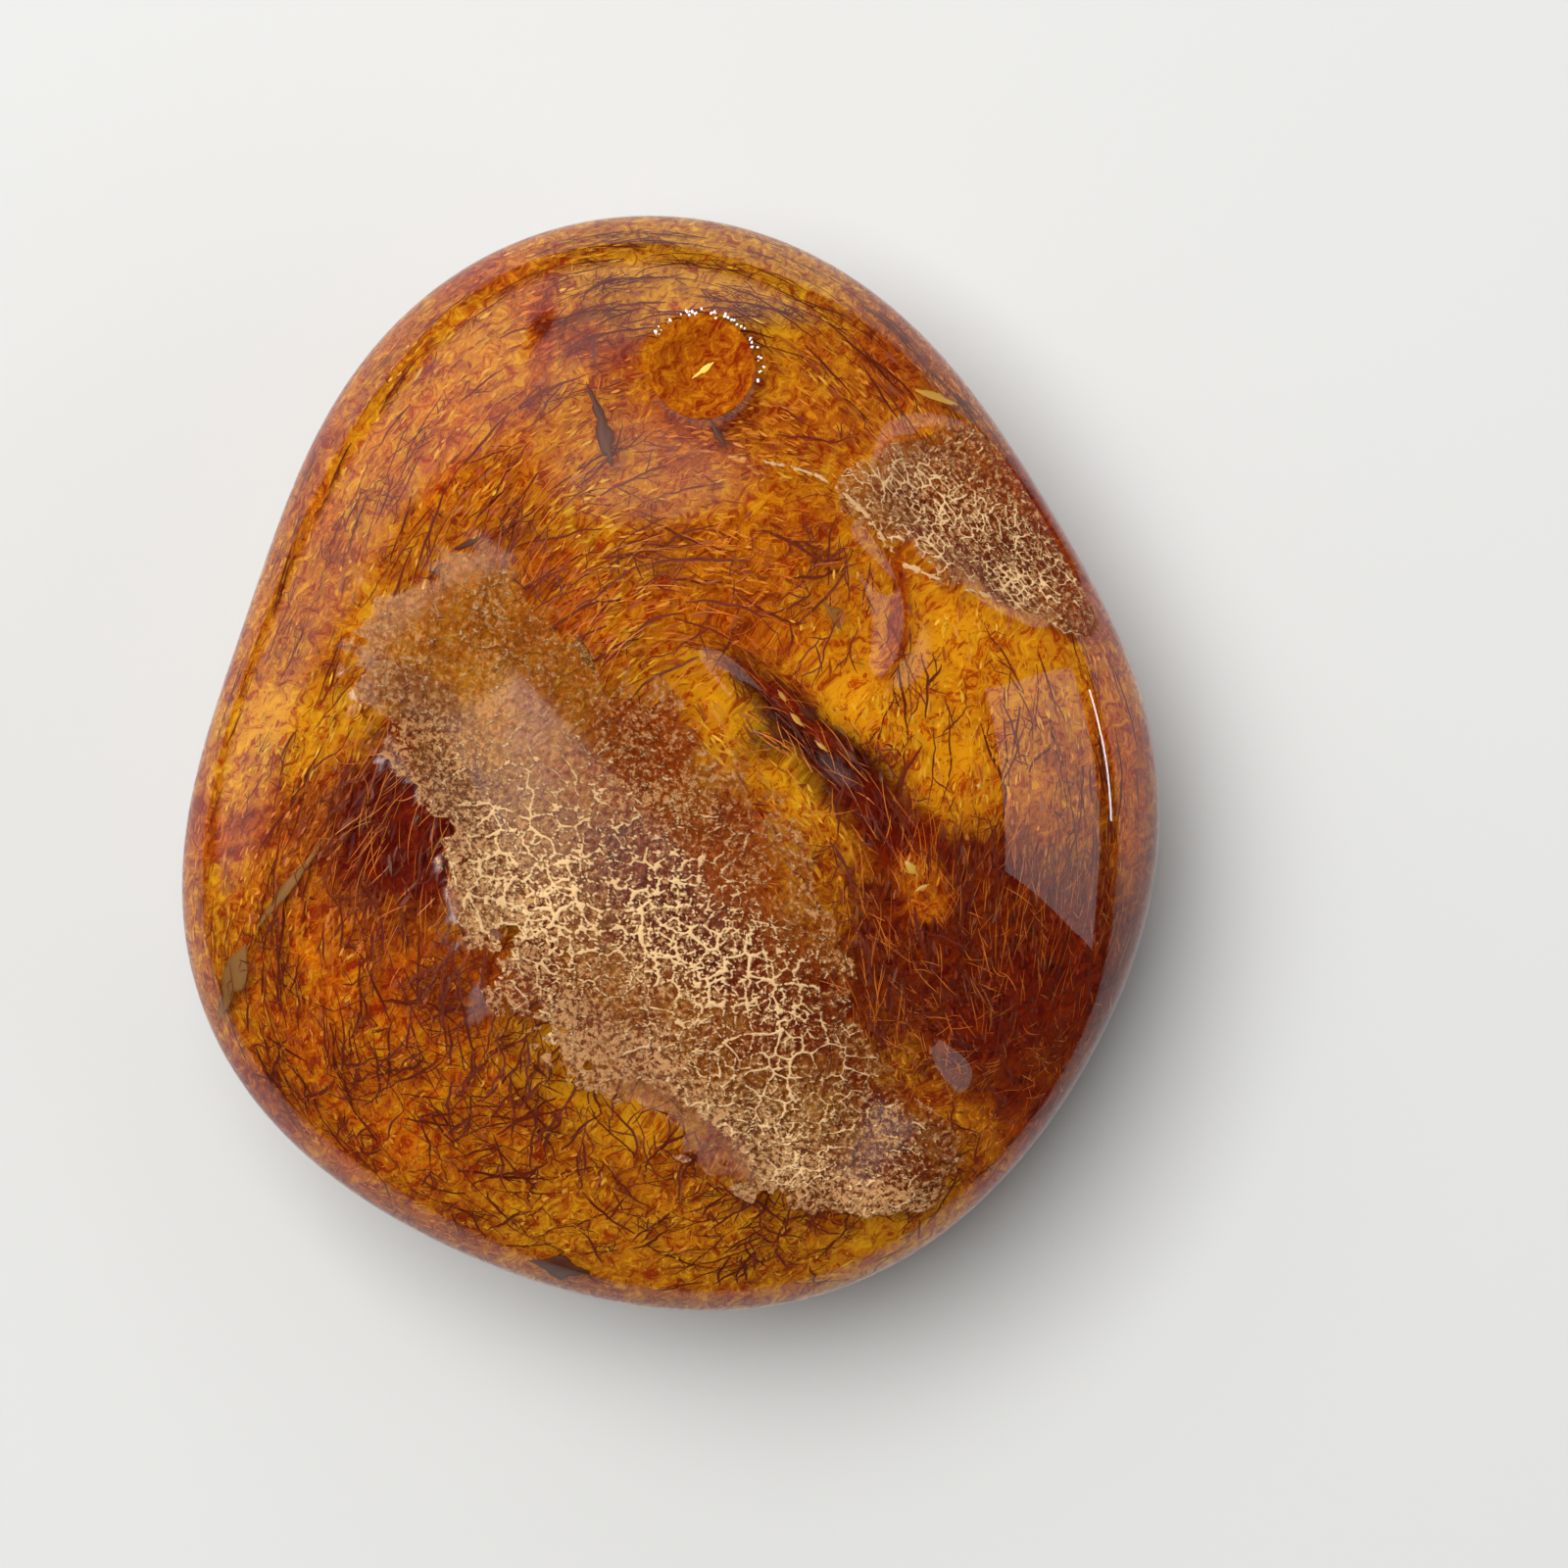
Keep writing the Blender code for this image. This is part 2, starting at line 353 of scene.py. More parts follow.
# %% [markdown]
# ## Shader sums in plain Python
#
# A material is a tree of nodes. To keep the trees readable, a small class wraps a node's output
# and turns sums on it into Math nodes, and one method adds every other kind of node.

# %% Shader helpers


class Value:
    """A node's output. Sums written on it add Math nodes to its tree."""

    def __init__(self, bench, socket):
        self.bench = bench
        self.socket = socket

    def math(self, operation, *values, clamp=False):
        """A Math node on the values, with its result kept from 0 to 1 if clamp is set."""
        inputs = dict(enumerate(values))
        settings = {"operation": operation, "use_clamp": clamp}
        return self.bench.add("ShaderNodeMath", settings, inputs)

    def __add__(self, other):
        return self.math("ADD", self, other)

    __radd__ = __add__

    def __sub__(self, other):
        return self.math("SUBTRACT", self, other)

    def __rsub__(self, other):
        return self.math("SUBTRACT", other, self)

    def __mul__(self, other):
        return self.math("MULTIPLY", self, other)

    __rmul__ = __mul__

    def greater(self, other):
        """The greater of the two numbers."""
        return self.math("MAXIMUM", self, other)

    def clamped(self):
        """The number, kept from 0 to 1."""
        return self.math("ADD", self, 0.0, clamp=True)


class Bench:
    """One material's tree, with the few ways in which nodes are added to it."""

    def __init__(self, name):
        self.material = bpy.data.materials.new(name)
        self.material.use_nodes = True
        self.tree = self.material.node_tree
        self.tree.nodes.clear()
        self.out = self.tree.nodes.new("ShaderNodeOutputMaterial")

    def add(self, kind, settings=None, inputs=None, output=0):
        """Adds a node, sets its settings first, then its sockets' values or links."""
        node = self.tree.nodes.new(kind)
        for name, value in (settings or {}).items():
            setattr(node, name, value)
        for key, value in (inputs or {}).items():
            if isinstance(value, Value):
                self.tree.links.new(value.socket, node.inputs[key])
            else:
                node.inputs[key].default_value = value
        return Value(self, node.outputs[output])

    def place(self):
        """The point being shaded, in millimetres."""
        return self.scaled(self.add("ShaderNodeTexCoord", output="Object"), 1.0 / MM)

    def vectors(self, operation, first, second):
        """A Vector Math node on two vectors."""
        return self.add("ShaderNodeVectorMath", {"operation": operation}, {0: first, 1: second})

    def scaled(self, vector, factor):
        """A vector times a number."""
        inputs = {0: vector, "Scale": factor}
        return self.add("ShaderNodeVectorMath", {"operation": "SCALE"}, inputs)

    def noise(self, where, scale, detail, roughness, output=0, **settings):
        """A noise whose coarsest lumps are one over scale millimetres wide. Detail counts the
        finer octaves, and each one weighs roughness times the one before."""
        inputs = {"Vector": where, "Scale": scale, "Detail": detail, "Roughness": roughness}
        return self.add("ShaderNodeTexNoise", settings, inputs, output)

    def warped(self, where, scale, reach):
        """The place pushed about by a noise, up to reach millimetres."""
        push = self.noise(where, scale, 0.0, 0.5, output=1)
        centred = self.vectors("SUBTRACT", push, (0.5, 0.5, 0.5))
        return self.vectors("ADD", where, self.scaled(centred, 2.0 * reach))

    def stretched(self, where, turn, sizes):
        """The place turned about +Z, in degrees, and divided by sizes along its new axes."""
        inputs = {"Vector": where, "Rotation": (0.0, 0.0, -math.radians(turn))}
        turned = self.add("ShaderNodeMapping", {"vector_type": "POINT"}, inputs)
        return self.vectors("DIVIDE", turned, sizes)

    def cell_edge(self, where, scale):
        """How far the nearest border between cells is, in cells."""
        settings = {"feature": "DISTANCE_TO_EDGE"}
        return self.add("ShaderNodeTexVoronoi", settings, {"Vector": where, "Scale": scale})

    def band(self, value, low, high):
        """0 up to low, 1 from high on, and smooth between; low over high turns it round."""
        rising = low < high
        first, last = (0.0, 1.0) if rising else (1.0, 0.0)
        inputs = {"Value": value, "From Min": min(low, high), "From Max": max(low, high)}
        inputs.update({"To Min": first, "To Max": last})
        return self.add("ShaderNodeMapRange", {"interpolation_type": "SMOOTHSTEP"}, inputs)

    def blend(self, share, first, second, mode="MIX"):
        """The first colour where share is 0 and the second where it is 1."""
        settings = {"data_type": "RGBA", "blend_type": mode}
        return self.add("ShaderNodeMix", settings, {0: share, 6: first, 7: second}, 2)

    def attribute(self, name, output=0):
        """A number or colour stored on the mesh: output 0 is the colour and 3 its alpha."""
        return self.add("ShaderNodeAttribute", {"attribute_name": name}, output=output)

    def parts(self, colour):
        """The three numbers of a colour."""
        node = self.add("ShaderNodeSeparateColor", None, {"Color": colour}).socket.node
        return [Value(self, socket) for socket in node.outputs]

    def bump(self, height, distance):
        """A normal leaned by the slope of a height, which counts distance millimetres for 1."""
        inputs = {"Strength": 1.0, "Distance": distance * MM, "Height": height}
        return self.add("ShaderNodeBump", None, inputs)

    def principled(self, inputs):
        """The material's one shader, linked to its output."""
        shader = self.add("ShaderNodeBsdfPrincipled", None, inputs)
        self.tree.links.new(shader.socket, self.out.inputs["Surface"])


# %% [markdown]
# ## The clear skin
#
# Polished amber bends light a little more than glass and soaks up blue first, then green. That
# is plain transmission, an index of refraction of 1.54 and absorption: each millimetre of the way
# takes away a share of each colour, so the thick middle is darker and redder than the rim. The
# mesh carries a number that says where the skin is matte, and it is set further on.

# %% Amber material
AMBER_IOR = 1.54
POLISHED_ROUGHNESS = 0.012
MATTE_ROUGHNESS = 0.26
ABSORPTION_COLOUR = (0.985, 0.80, 0.0, 1.0)
ABSORPTION_DENSITY = 125.0


def amber_material():
    """Clear as glass, with the roughness a polished skin's plus the matte share's part."""
    bench = Bench("polished_amber")
    roughness = bench.attribute("matte", 3) * MATTE_ROUGHNESS + POLISHED_ROUGHNESS
    inputs = {"Base Color": (1.0, 1.0, 1.0, 1.0), "Transmission Weight": 1.0}
    inputs.update({"IOR": AMBER_IOR, "Roughness": roughness})
    bench.principled(inputs)
    soaked = {"Color": ABSORPTION_COLOUR, "Density": ABSORPTION_DENSITY}
    absorbed = bench.add("ShaderNodeVolumeAbsorption", None, soaked)
    bench.tree.links.new(absorbed.socket, bench.out.inputs["Volume"])
    return bench.material


stone = make_mesh("amber_body", skin_points, skin_faces, amber_material())
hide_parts("amber_stone")

# %% [markdown]
# ## Patches of colour inside
#
# The inside isn't one orange: it is yellow at the top, red-brown on the left and at the lower
# right, golden along the long hollow. Each patch is a soft oval with a colour. They are laid over
# one another like washes of paint, with their edges pushed about by a noise. The thin dark bands
# along the cleft and the two creases are painted shade.

# %% Smooth random numbers on the plan


def corner_number(column, row, seed):
    """A fixed random number for each whole-number corner: the fraction of a large sine."""
    mixed = np.sin(column * 127.1 + row * 311.7 + seed * 74.7) * 43758.5453
    return mixed - np.floor(mixed)


def plan_noise(x, y, size, seed, octaves=3):
    """Random numbers at the corners of a square grid, blended smoothly between them. Each
    octave halves the grid and the weight. The result runs from 0 to 1."""
    total = np.zeros_like(x, float)
    weight, weights = 1.0, 0.0
    for octave in range(octaves):
        u, v = x / size * 2**octave, y / size * 2**octave
        column, row = np.floor(u), np.floor(v)
        s, t = smooth_rise(0.0, 1.0, u - column), smooth_rise(0.0, 1.0, v - row)
        corners = [
            corner_number(column + dx, row + dy, seed + octave) for dy in (0, 1) for dx in (0, 1)
        ]
        lower = corners[0] * (1 - s) + corners[1] * s
        upper = corners[2] * (1 - s) + corners[3] * s
        total += weight * (lower * (1 - t) + upper * t)
        weights += weight
        weight *= 0.5
    return total / weights


# %% The palette and the patches
YELLOW = (1.00, 0.52, 0.015)
OLIVE_GOLD = (0.82, 0.42, 0.02)
AMBER = (0.80, 0.32, 0.012)
ORANGE = (0.84, 0.23, 0.006)
ROSE_BROWN = (0.66, 0.19, 0.016)
RED_BROWN = (0.50, 0.050, 0.003)
DARK_RED = (0.22, 0.012, 0.001)
NEAR_BLACK = (0.10, 0.004, 0.001)

# Patches: middle, half widths along and across, turn in degrees, colour, strength
PATCHES = (
    ((3.0, 35.0), (14.0, 5.5), 0.0, OLIVE_GOLD, 0.95),
    ((-15.0, 24.0), (9.0, 10.0), 0.0, AMBER, 0.5),
    ((-16.0, 21.5), (6.0, 5.0), 30.0, ORANGE, 0.7),
    ((5.0, 24.0), (13.0, 3.5), -5.0, ROSE_BROWN, 0.8),
    ((16.0, 27.0), (8.0, 5.0), -40.0, ROSE_BROWN, 0.6),
    ((-27.0, 10.0), (6.0, 12.0), 20.0, AMBER, 0.7),
    ((-29.0, 2.5), (6.5, 2.6), 0.0, YELLOW, 0.8),
    ((0.5, 13.5), (13.0, 6.5), -10.0, AMBER, 0.8),
    ((4.0, 9.0), (7.0, 3.0), -20.0, RED_BROWN, 0.35),
    ((-8.0, 11.0), (4.0, 5.0), 20.0, ORANGE, 0.9),
    ((-18.0, 9.0), (7.0, 4.0), 20.0, YELLOW, 0.6),
    ((-21.7, 4.2), (3.0, 2.6), 0.0, YELLOW, 1.0),
    ((-11.0, 3.0), (8.0, 3.5), -20.0, OLIVE_GOLD, 0.7),
    ((-23.5, -10.0), (6.0, 6.5), 20.0, RED_BROWN, 0.8),
    ((-20.0, -6.0), (6.5, 10.0), -18.0, DARK_RED, 1.0),
    ((-28.0, -7.0), (4.0, 8.0), -20.0, ROSE_BROWN, 0.7),
    ((-20.0, -21.0), (13.0, 8.5), -45.0, ORANGE, 0.9),
    ((-7.5, -23.0), (8.5, 2.8), -38.0, YELLOW, 0.95),
    ((-2.0, -32.5), (16.0, 5.5), -8.0, AMBER, 0.9),
    ((15.0, -35.0), (7.0, 4.0), 25.0, YELLOW, 0.7),
    ((1.0, -9.0), (9.0, 6.0), -50.0, RED_BROWN, 0.85),
    ((9.0, -17.0), (7.0, 4.5), -50.0, RED_BROWN, 0.8),
    ((21.0, -13.0), (11.5, 11.0), -30.0, DARK_RED, 0.95),
    ((26.5, -20.0), (8.0, 8.0), 0.0, DARK_RED, 0.8),
    ((31.0, -9.0), (5.0, 12.0), 0.0, DARK_RED, 0.8),
    ((20.0, -27.0), (4.0, 2.5), -30.0, AMBER, 0.7),
    ((19.0, 4.0), (8.5, 7.5), -30.0, YELLOW, 1.0),
    ((26.0, 1.0), (5.0, 9.0), 15.0, AMBER, 0.6),
    ((31.5, 0.0), (2.0, 8.0), 10.0, ORANGE, 0.8),
    ((4.6, 0.9), (8.0, 2.6), -42.0, YELLOW, 1.0),
    # The near-black band and the red-brown one below it are painted shade along the cleft
    ((10.3, 0.6), (10.0, 3.4), -43.0, NEAR_BLACK, 1.0),
    ((8.2, 3.6), (5.0, 1.0), -43.0, RED_BROWN, 0.8),
    ((16.0, -6.0), (6.0, 3.0), -50.0, DARK_RED, 0.9),
    ((17.3, -9.0), (2.2, 2.6), 20.0, ORANGE, 0.8),
    ((23.0, 17.0), (8.5, 5.5), -40.0, RED_BROWN, 0.9),
    ((1.9, 28.1), (4.3, 4.3), 0.0, ORANGE, 0.9),
    # The two thin red-brown bands are painted shade along the left crease and the boss's crease
    ((-9.6, 29.5), (1.3, 7.0), -8.0, RED_BROWN, 0.7),
    ((15.4, 11.0), (1.3, 6.5), -8.0, RED_BROWN, 0.8),
    ((-0.5, 18.5), (8.0, 2.5), 8.0, YELLOW, 0.5),
)


# How far a noise pushes the patches' edges about, in millimetres
WASH_DRIFT = 3.0
# The shares of red, green and blue that are lost: by the ground where it is gloomy, and then by
# everything in the gloom and near the rim
GLOOM_LOSS = np.array((0.25, 0.60, 0.60))
SHADE_LOSS = np.array((0.30, 0.55, 0.55))


def wash(x, y, patches=PATCHES, ground=AMBER):
    """The colour on the plan: the ground's, darker where a coarse noise is high, with each
    patch laid over it in turn. A patch's share is its strength times a smooth fall from 1 inside
    its oval to 0 outside it. The gloom and the last sixth of the way to the rim are shaded."""
    shift_x = (plan_noise(x, y, 4.0, 11.0, 4) - 0.5) * WASH_DRIFT
    shift_y = (plan_noise(x, y, 4.0, 23.0, 4) - 0.5) * WASH_DRIFT
    gloom = smooth_rise(0.50, 0.72, plan_noise(x + shift_x, y + shift_y, 5.0, 91.0))
    colour = np.array(ground) * (1.0 - gloom[..., None] * GLOOM_LOSS)
    for centre, halves, turn, tint, strength in patches:
        reach = oval(x + shift_x, y + shift_y, centre, halves, turn)
        share = strength * (1.0 - smooth_rise(0.6, 1.25, reach))
        colour += share[..., None] * (np.array(tint) - colour)
    reach = np.hypot(x, y) / plan_radius(np.arctan2(y, x))
    shade = np.maximum(0.5 * gloom, 0.8 * smooth_rise(0.84, 1.0, reach))
    return colour * (1.0 - shade[..., None] * SHADE_LOSS)


# %% [markdown]
# ## The cloudy body
#
# Light that enters the stone meets thousands of tiny cracks and is thrown back. A second closed
# surface a few millimetres inside the skin stands for them. It carries the patches as a colour
# attribute. Its material mottles them with noise that is drawn out along the flow: darker and
# lighter flecks, and thin creases along the ridges of a second noise.

# %% Cloud body
CLOUD_INSET = {"plan": 1.2, "crown": 3.8, "back": 2.6, "relief": 0.35}


def set_colours(piece, name, colours):
    """Stores four numbers for each vertex, as a colour and its alpha."""
    missing = np.ones((len(colours), 4 - colours.shape[1]))
    attribute = piece.data.attributes.new(name, "FLOAT_COLOR", "POINT")
    attribute.data.foreach_set("color", np.hstack([colours, missing]).astype(np.float32).ravel())


FLOW_TURN = 52.0
FLOW_STRETCH = (1.8, 0.8, 1.0)
DARK_FLECK = (0.62, 0.20, 0.2, 1.0)
BRIGHT_FLECK = (1.6, 2.4, 2.0, 1.0)
BRIGHTEST = (1.0, 0.58, 0.02, 1.0)
CREASE_BROWN = (0.42, 0.045, 0.003, 1.0)


def cloud_material():
    """The patches' colour, times a dark tint where the mottle is low and a bright one where it
    is high, which ends at gold, and the creases' brown along the ridges."""
    bench = Bench("amber_cloud")
    tint = bench.attribute("wash")
    drift = bench.warped(bench.place(), 0.9, 0.9)
    drawn = bench.stretched(drift, FLOW_TURN, FLOW_STRETCH)
    mottle = bench.noise(drawn, 1.15, 5.0, 0.80)
    ridges = bench.noise(drawn, 1.3, 3.0, 0.60, noise_type="RIDGED_MULTIFRACTAL")
    dark = bench.blend(1.0, tint, DARK_FLECK, "MULTIPLY")
    shaded = bench.blend(bench.band(mottle, 0.50, 0.40), tint, dark)
    glow = bench.blend(1.0, tint, BRIGHT_FLECK, "MULTIPLY")
    glow = bench.blend(1.0, glow, BRIGHTEST, "DARKEN")
    lit = bench.blend(bench.band(mottle, 0.52, 0.61) * 0.9, shaded, glow)
    cracked = bench.blend(bench.band(ridges, 0.75, 1.05) * 0.7, lit, CREASE_BROWN)
    bench.principled({"Base Color": cracked, "Roughness": 0.8, "Specular IOR Level": 0.1})
    return bench.material


cloud_points, cloud_faces = closed_shell(rings=150, around=300, inset=CLOUD_INSET)
cloud = make_mesh("amber_cloud", cloud_points, cloud_faces, cloud_material())
set_colours(cloud, "wash", wash(cloud_points[:, 0], cloud_points[:, 1]))

# %% [markdown]
# ## Threads inside the stone
#
# Between the cloud and the skin float real threads: dark branching veins, and golden hairs. Each
# is a ribbon. All of a kind are walked at once over a ball, a step at a time, and the ball is
# then shaped into the stone, so a thread keeps its depth under the skin wherever it goes.

# %% Walks over a ball
BALL_TO_MM = 37.0
LOWEST_THREAD = 0.3


def ball_points(x, y, upper):
    """The ball's point that the surface function puts at a place on the plan."""
    angle = np.arctan2(y, x)
    fullness = np.where(upper, CROWN_FULLNESS, BACK_FULLNESS)
    reach = np.clip(np.hypot(x, y) / plan_radius(angle), 0.0, 1.0)
    level = reach ** (fullness / 2.0)
    up = np.sqrt(1.0 - level * level) * np.where(upper, 1.0, -1.0)
    return np.stack([level * np.cos(angle), level * np.sin(angle), up], axis=-1)


def unit(vectors):
    """Each vector divided by its own length."""
    return vectors / np.maximum(np.linalg.norm(vectors, axis=-1, keepdims=True), 1e-9)


def walk(starts, headings, steps, stride, kink, curl, rng):
    """Paths over the ball. Each path turns by its own fixed angle a step, its curl, and its kinks
    swing it to and fro about that curve. The heading stays square to the ball's radius."""
    place = unit(starts)
    ahead = unit(headings - place * np.sum(headings * place, axis=-1, keepdims=True))
    curls = rng.normal(0.0, curl, len(starts))
    bend = np.zeros(len(starts))
    trail = [place]
    for _ in range(steps):
        fresh = 0.5 * bend + rng.normal(0.0, kink, len(starts))
        turn = (curls + fresh - bend)[:, None]
        bend = fresh
        side = np.cross(place, ahead)
        ahead = ahead * np.cos(turn) + side * np.sin(turn)
        place = unit(place + ahead * (np.asarray(stride) / BALL_TO_MM))
        ahead = unit(ahead - place * np.sum(ahead * place, axis=-1, keepdims=True))
        trail.append(place)
    return np.stack(trail, axis=1)


def ribbon_grid(trails, sink, width, roll=0.0, tip=0.25):
    """Ribbons along the paths. Sink is 0 at the skin and 1 at the cloud, and mixes the two
    bodies' sizes. Each edge is half a width away from the path, level with the skin but for the
    roll, and the width narrows to the tip's share at both ends by a sine of the way along."""
    sizes = {key: WHOLE[key] + sink * (CLOUD_INSET[key] - WHOLE[key]) for key in WHOLE}
    angle = np.arctan2(trails[..., 1], trails[..., 0])
    middle = stone_surface(angle, np.clip(trails[..., 2], -0.999, 0.999), sizes)
    middle[..., 2] = np.maximum(middle[..., 2], LOWEST_THREAD + sizes["back"] * 0.9)
    along = np.gradient(middle, axis=1)
    side = unit(np.cross(trails, along))
    roll = np.asarray(roll)[..., None]
    side = side * np.cos(roll) + unit(trails) * np.sin(roll)
    way = np.linspace(0.0, 1.0, trails.shape[1])
    taper = tip + (1.0 - tip) * np.sin(math.pi * np.clip(way * 0.9 + 0.1, 0.0, 1.0))
    half = side * (0.5 * np.asarray(width) * taper[None, :])[..., None]
    return np.stack([middle - half, middle + half], axis=2)


def ribbon_mesh(name, grids, material):
    """Joins any number of ribbon grids into one piece."""
    points, faces, count = [], [], 0
    for grid in grids:
        ribbons, samples = grid.shape[:2]
        first = np.arange(ribbons)[:, None] * samples * 2 + np.arange(samples - 1) * 2 + count
        faces.append(np.stack([first, first + 2, first + 3, first + 1], axis=-1).reshape(-1, 4))
        points.append(grid.reshape(-1, 3))
        count += grid.size // 3
    return make_mesh(name, np.vstack(points), np.vstack(faces).tolist(), material)


SCATTER_HALF = 42.0
TRIES_FOR_ONE = 30
INSIDE_SHARE = 0.985


def scatter(count, density, rng, upper):
    """Random places on the plan, kept with the chance that density gives: the ball's points for
    them, and the places themselves."""
    tries = rng.uniform(-SCATTER_HALF, SCATTER_HALF, (count * TRIES_FOR_ONE, 2))
    angle = np.arctan2(tries[:, 1], tries[:, 0])
    inside = np.hypot(tries[:, 0], tries[:, 1]) < plan_radius(angle) * INSIDE_SHARE
    kept = tries[inside & (rng.random(len(tries)) < density(tries[:, 0], tries[:, 1]))][:count]
    return ball_points(kept[:, 0], kept[:, 1], np.full(len(kept), upper)), kept


# %% [markdown]
# The resin once flowed, and everything in it is drawn out along the flow. The flow's direction is
# known at a few places. Between them it is a blend in which near places count most.

# %% The flow
# Place, direction in degrees
FLOW = (
    ((0.0, 36.0), 22.0),
    ((15.0, 32.0), -35.0),
    ((-14.0, 25.5), 42.0),
    ((-30.0, 9.0), 50.0),
    ((-26.0, -5.0), 55.0),
    ((-19.5, -5.0), 68.0),
    ((-24.5, -23.0), 57.0),
    ((-14.0, -30.0), 62.0),
    ((-3.0, -37.0), 76.0),
    ((15.0, -37.0), 112.0),
    ((26.0, -23.0), 137.0),
    ((32.0, -12.0), 112.0),
    ((26.0, -1.5), 78.0),
    ((18.0, 5.5), 62.0),
    ((-2.0, 15.5), 16.0),
    ((9.0, 1.0), -43.0),
    ((-10.0, 6.0), 40.0),
)


def flow_heading(x, y):
    """The blended direction. Each place counts by one over its distance cubed. Directions are
    blended as points on a circle at twice their angle, because a line points both ways."""
    total = np.zeros(x.shape, complex)
    for (px, py), degrees in FLOW:
        weight = 1.0 / (np.hypot(x - px, y - py) + 1.0) ** 3
        total += weight * np.exp(2j * math.radians(degrees))
    return np.angle(total) / 2.0


def plan_headings(places, spread, rng):
    """The flow's heading at each place, swung by a random angle, either way along it."""
    swing = rng.normal(0.0, spread, len(places))
    half_turns = math.pi * rng.integers(0, 2, len(places))
    heading = flow_heading(places[:, 0], places[:, 1]) + swing + half_turns
    return np.stack([np.cos(heading), np.sin(heading), np.zeros(len(places))], axis=-1)


def one_each(limits, paths, rng):
    """A random number between two limits for each path, as a column."""
    return rng.uniform(*limits, (len(paths), 1))


def flow_paths(count, density, upper, rng, spread, strides, steps, kink, curl):
    """Paths from scattered places, along the flow but for the spread, with a stride drawn for
    each between two limits."""
    starts, places = scatter(count, density, rng, upper)
    headings = plan_headings(places, spread, rng)
    stride = one_each(strides, starts, rng)
    return walk(starts, headings, steps, stride, kink, curl, rng)


# %% [markdown]
# Thousands of short strokes, like brush strokes, give the inside its grain. A light one is a
# painted highlight, a crack that catches the light, and a dark one is a crack's painted shadow.

# %% Strokes of painted highlight and shadow
# The bright strokes' gold and gain make painted highlights, and the dark strokes' loss makes
# painted shadow
GLINT_GOLD = np.array((1.0, 0.62, 0.05))
GLINT_GAIN = np.array((1.0, 1.6, 1.5))
CRACK_SHADOW_LOSS = np.array((0.45, 0.85, 0.90))


def stroke_colours(grid, bright, rng):
    """The patches' colour at each point, times a tint that is random for each stroke: a dark
    tint for a crack's painted shadow, or a light one that ends at gold for a painted highlight."""
    colour = wash(grid[..., 0], grid[..., 1])
    amount = rng.uniform(0.25, 1.0, (len(grid), 1, 1, 1))
    if bright:
        return np.minimum(colour * (1.0 + amount * GLINT_GAIN), GLINT_GOLD)
    return colour * (1.0 - amount * CRACK_SHADOW_LOSS)


def stroke_material():
    """The strokes' colours, painted highlights and shadows, with a faint gloss."""
    bench = Bench("stroke")
    bench.principled({"Base Color": bench.attribute("wash"), "Roughness": 0.45})
    return bench.material


def strokes(name, bright, density, counts, strides, widths, rng):
    """Ribbons of a few steps each, on the face and then on the back. Counts has a number for
    each, and a stride and a width are drawn for each ribbon between two limits."""
    grids, colours = [], []
    for upper, count in zip((True, False), counts):
        trails = flow_paths(
            count, density, upper, rng, spread=0.28, strides=strides, steps=4, kink=0.16, curl=0.02
        )
        sink = one_each((0.35, 1.0), trails, rng)
        width = one_each(widths, trails, rng)
        roll = rng.normal(0.0, 0.6, (len(trails), 1))
        grids.append(ribbon_grid(trails, sink, width, roll, tip=0.1))
        colours.append(stroke_colours(grids[-1], bright, rng).reshape(-1, 3))
    piece = ribbon_mesh(name, grids, stroke_material())
    set_colours(piece, "wash", np.vstack(colours))


def crack_shadow_density(x, y):
    """More painted crack shadows in the darker patches, and in patches of a noise."""
    patchy = 0.35 + 0.65 * smooth_rise(0.42, 0.58, plan_noise(x, y, 3.2, 67.0))
    return patchy * (0.8 - wash(x, y)[..., 1])


def glint_density(x, y):
    """Cracks painted with a golden highlight lie in crinkled patches a few millimetres across, with
    calm amber between.
    """
    return 0.12 + 0.80 * smooth_rise(0.46, 0.60, plan_noise(x, y, 3.4, 63.0))


rng = np.random.default_rng(54)
# Dark strokes are painted crack shadows, and bright ones are painted highlights where cracks catch
# the light
strokes("crack_shadow_strokes", False, crack_shadow_density, (5200, 2000), (0.12, 0.36), (0.06, 0.32), rng)
strokes("crack_glint_strokes", True, glint_density, (9000, 2400), (0.08, 0.24), (0.05, 0.24), rng)

# %% [markdown]
# Where veins and hairs are dense is again a matter of soft ovals. Dark veins branch: a trunk,
# then twigs that start along it.

# %% Dark veins
# Middle, half widths, turn, how dense
VEIN_FIELDS = (
    ((-20.0, -20.0), (15.0, 11.0), -45.0, 1.0),
    ((-1.0, -31.0), (18.0, 8.0), -8.0, 1.0),
    ((17.0, -34.0), (8.0, 5.0), 25.0, 0.8),
    ((3.0, 35.0), (16.0, 6.0), 0.0, 1.0),
    ((17.0, 30.0), (8.0, 4.0), -45.0, 0.8),
    ((-16.0, 20.0), (9.0, 12.0), 20.0, 0.4),
    ((-29.0, 5.0), (6.0, 16.0), 15.0, 0.35),
    ((19.0, 3.0), (10.0, 8.0), -30.0, 0.35),
    ((28.0, 2.0), (5.0, 10.0), 10.0, 0.7),
    ((1.0, 13.0), (13.0, 7.0), -10.0, 0.4),
    ((22.0, -17.0), (11.0, 11.0), 0.0, 0.4),
)
STRAY_SHARE = 0.03


def field_share(x, y, fields):
    """The greatest of the fields' shares, each fading smoothly around its oval's border, and
    a stray few everywhere else."""
    best = np.full(x.shape, STRAY_SHARE)
    for centre, halves, turn, dense in fields:
        share = dense * (1.0 - smooth_rise(0.7, 1.3, oval(x, y, centre, halves, turn)))
        best = np.maximum(best, share)
    return best


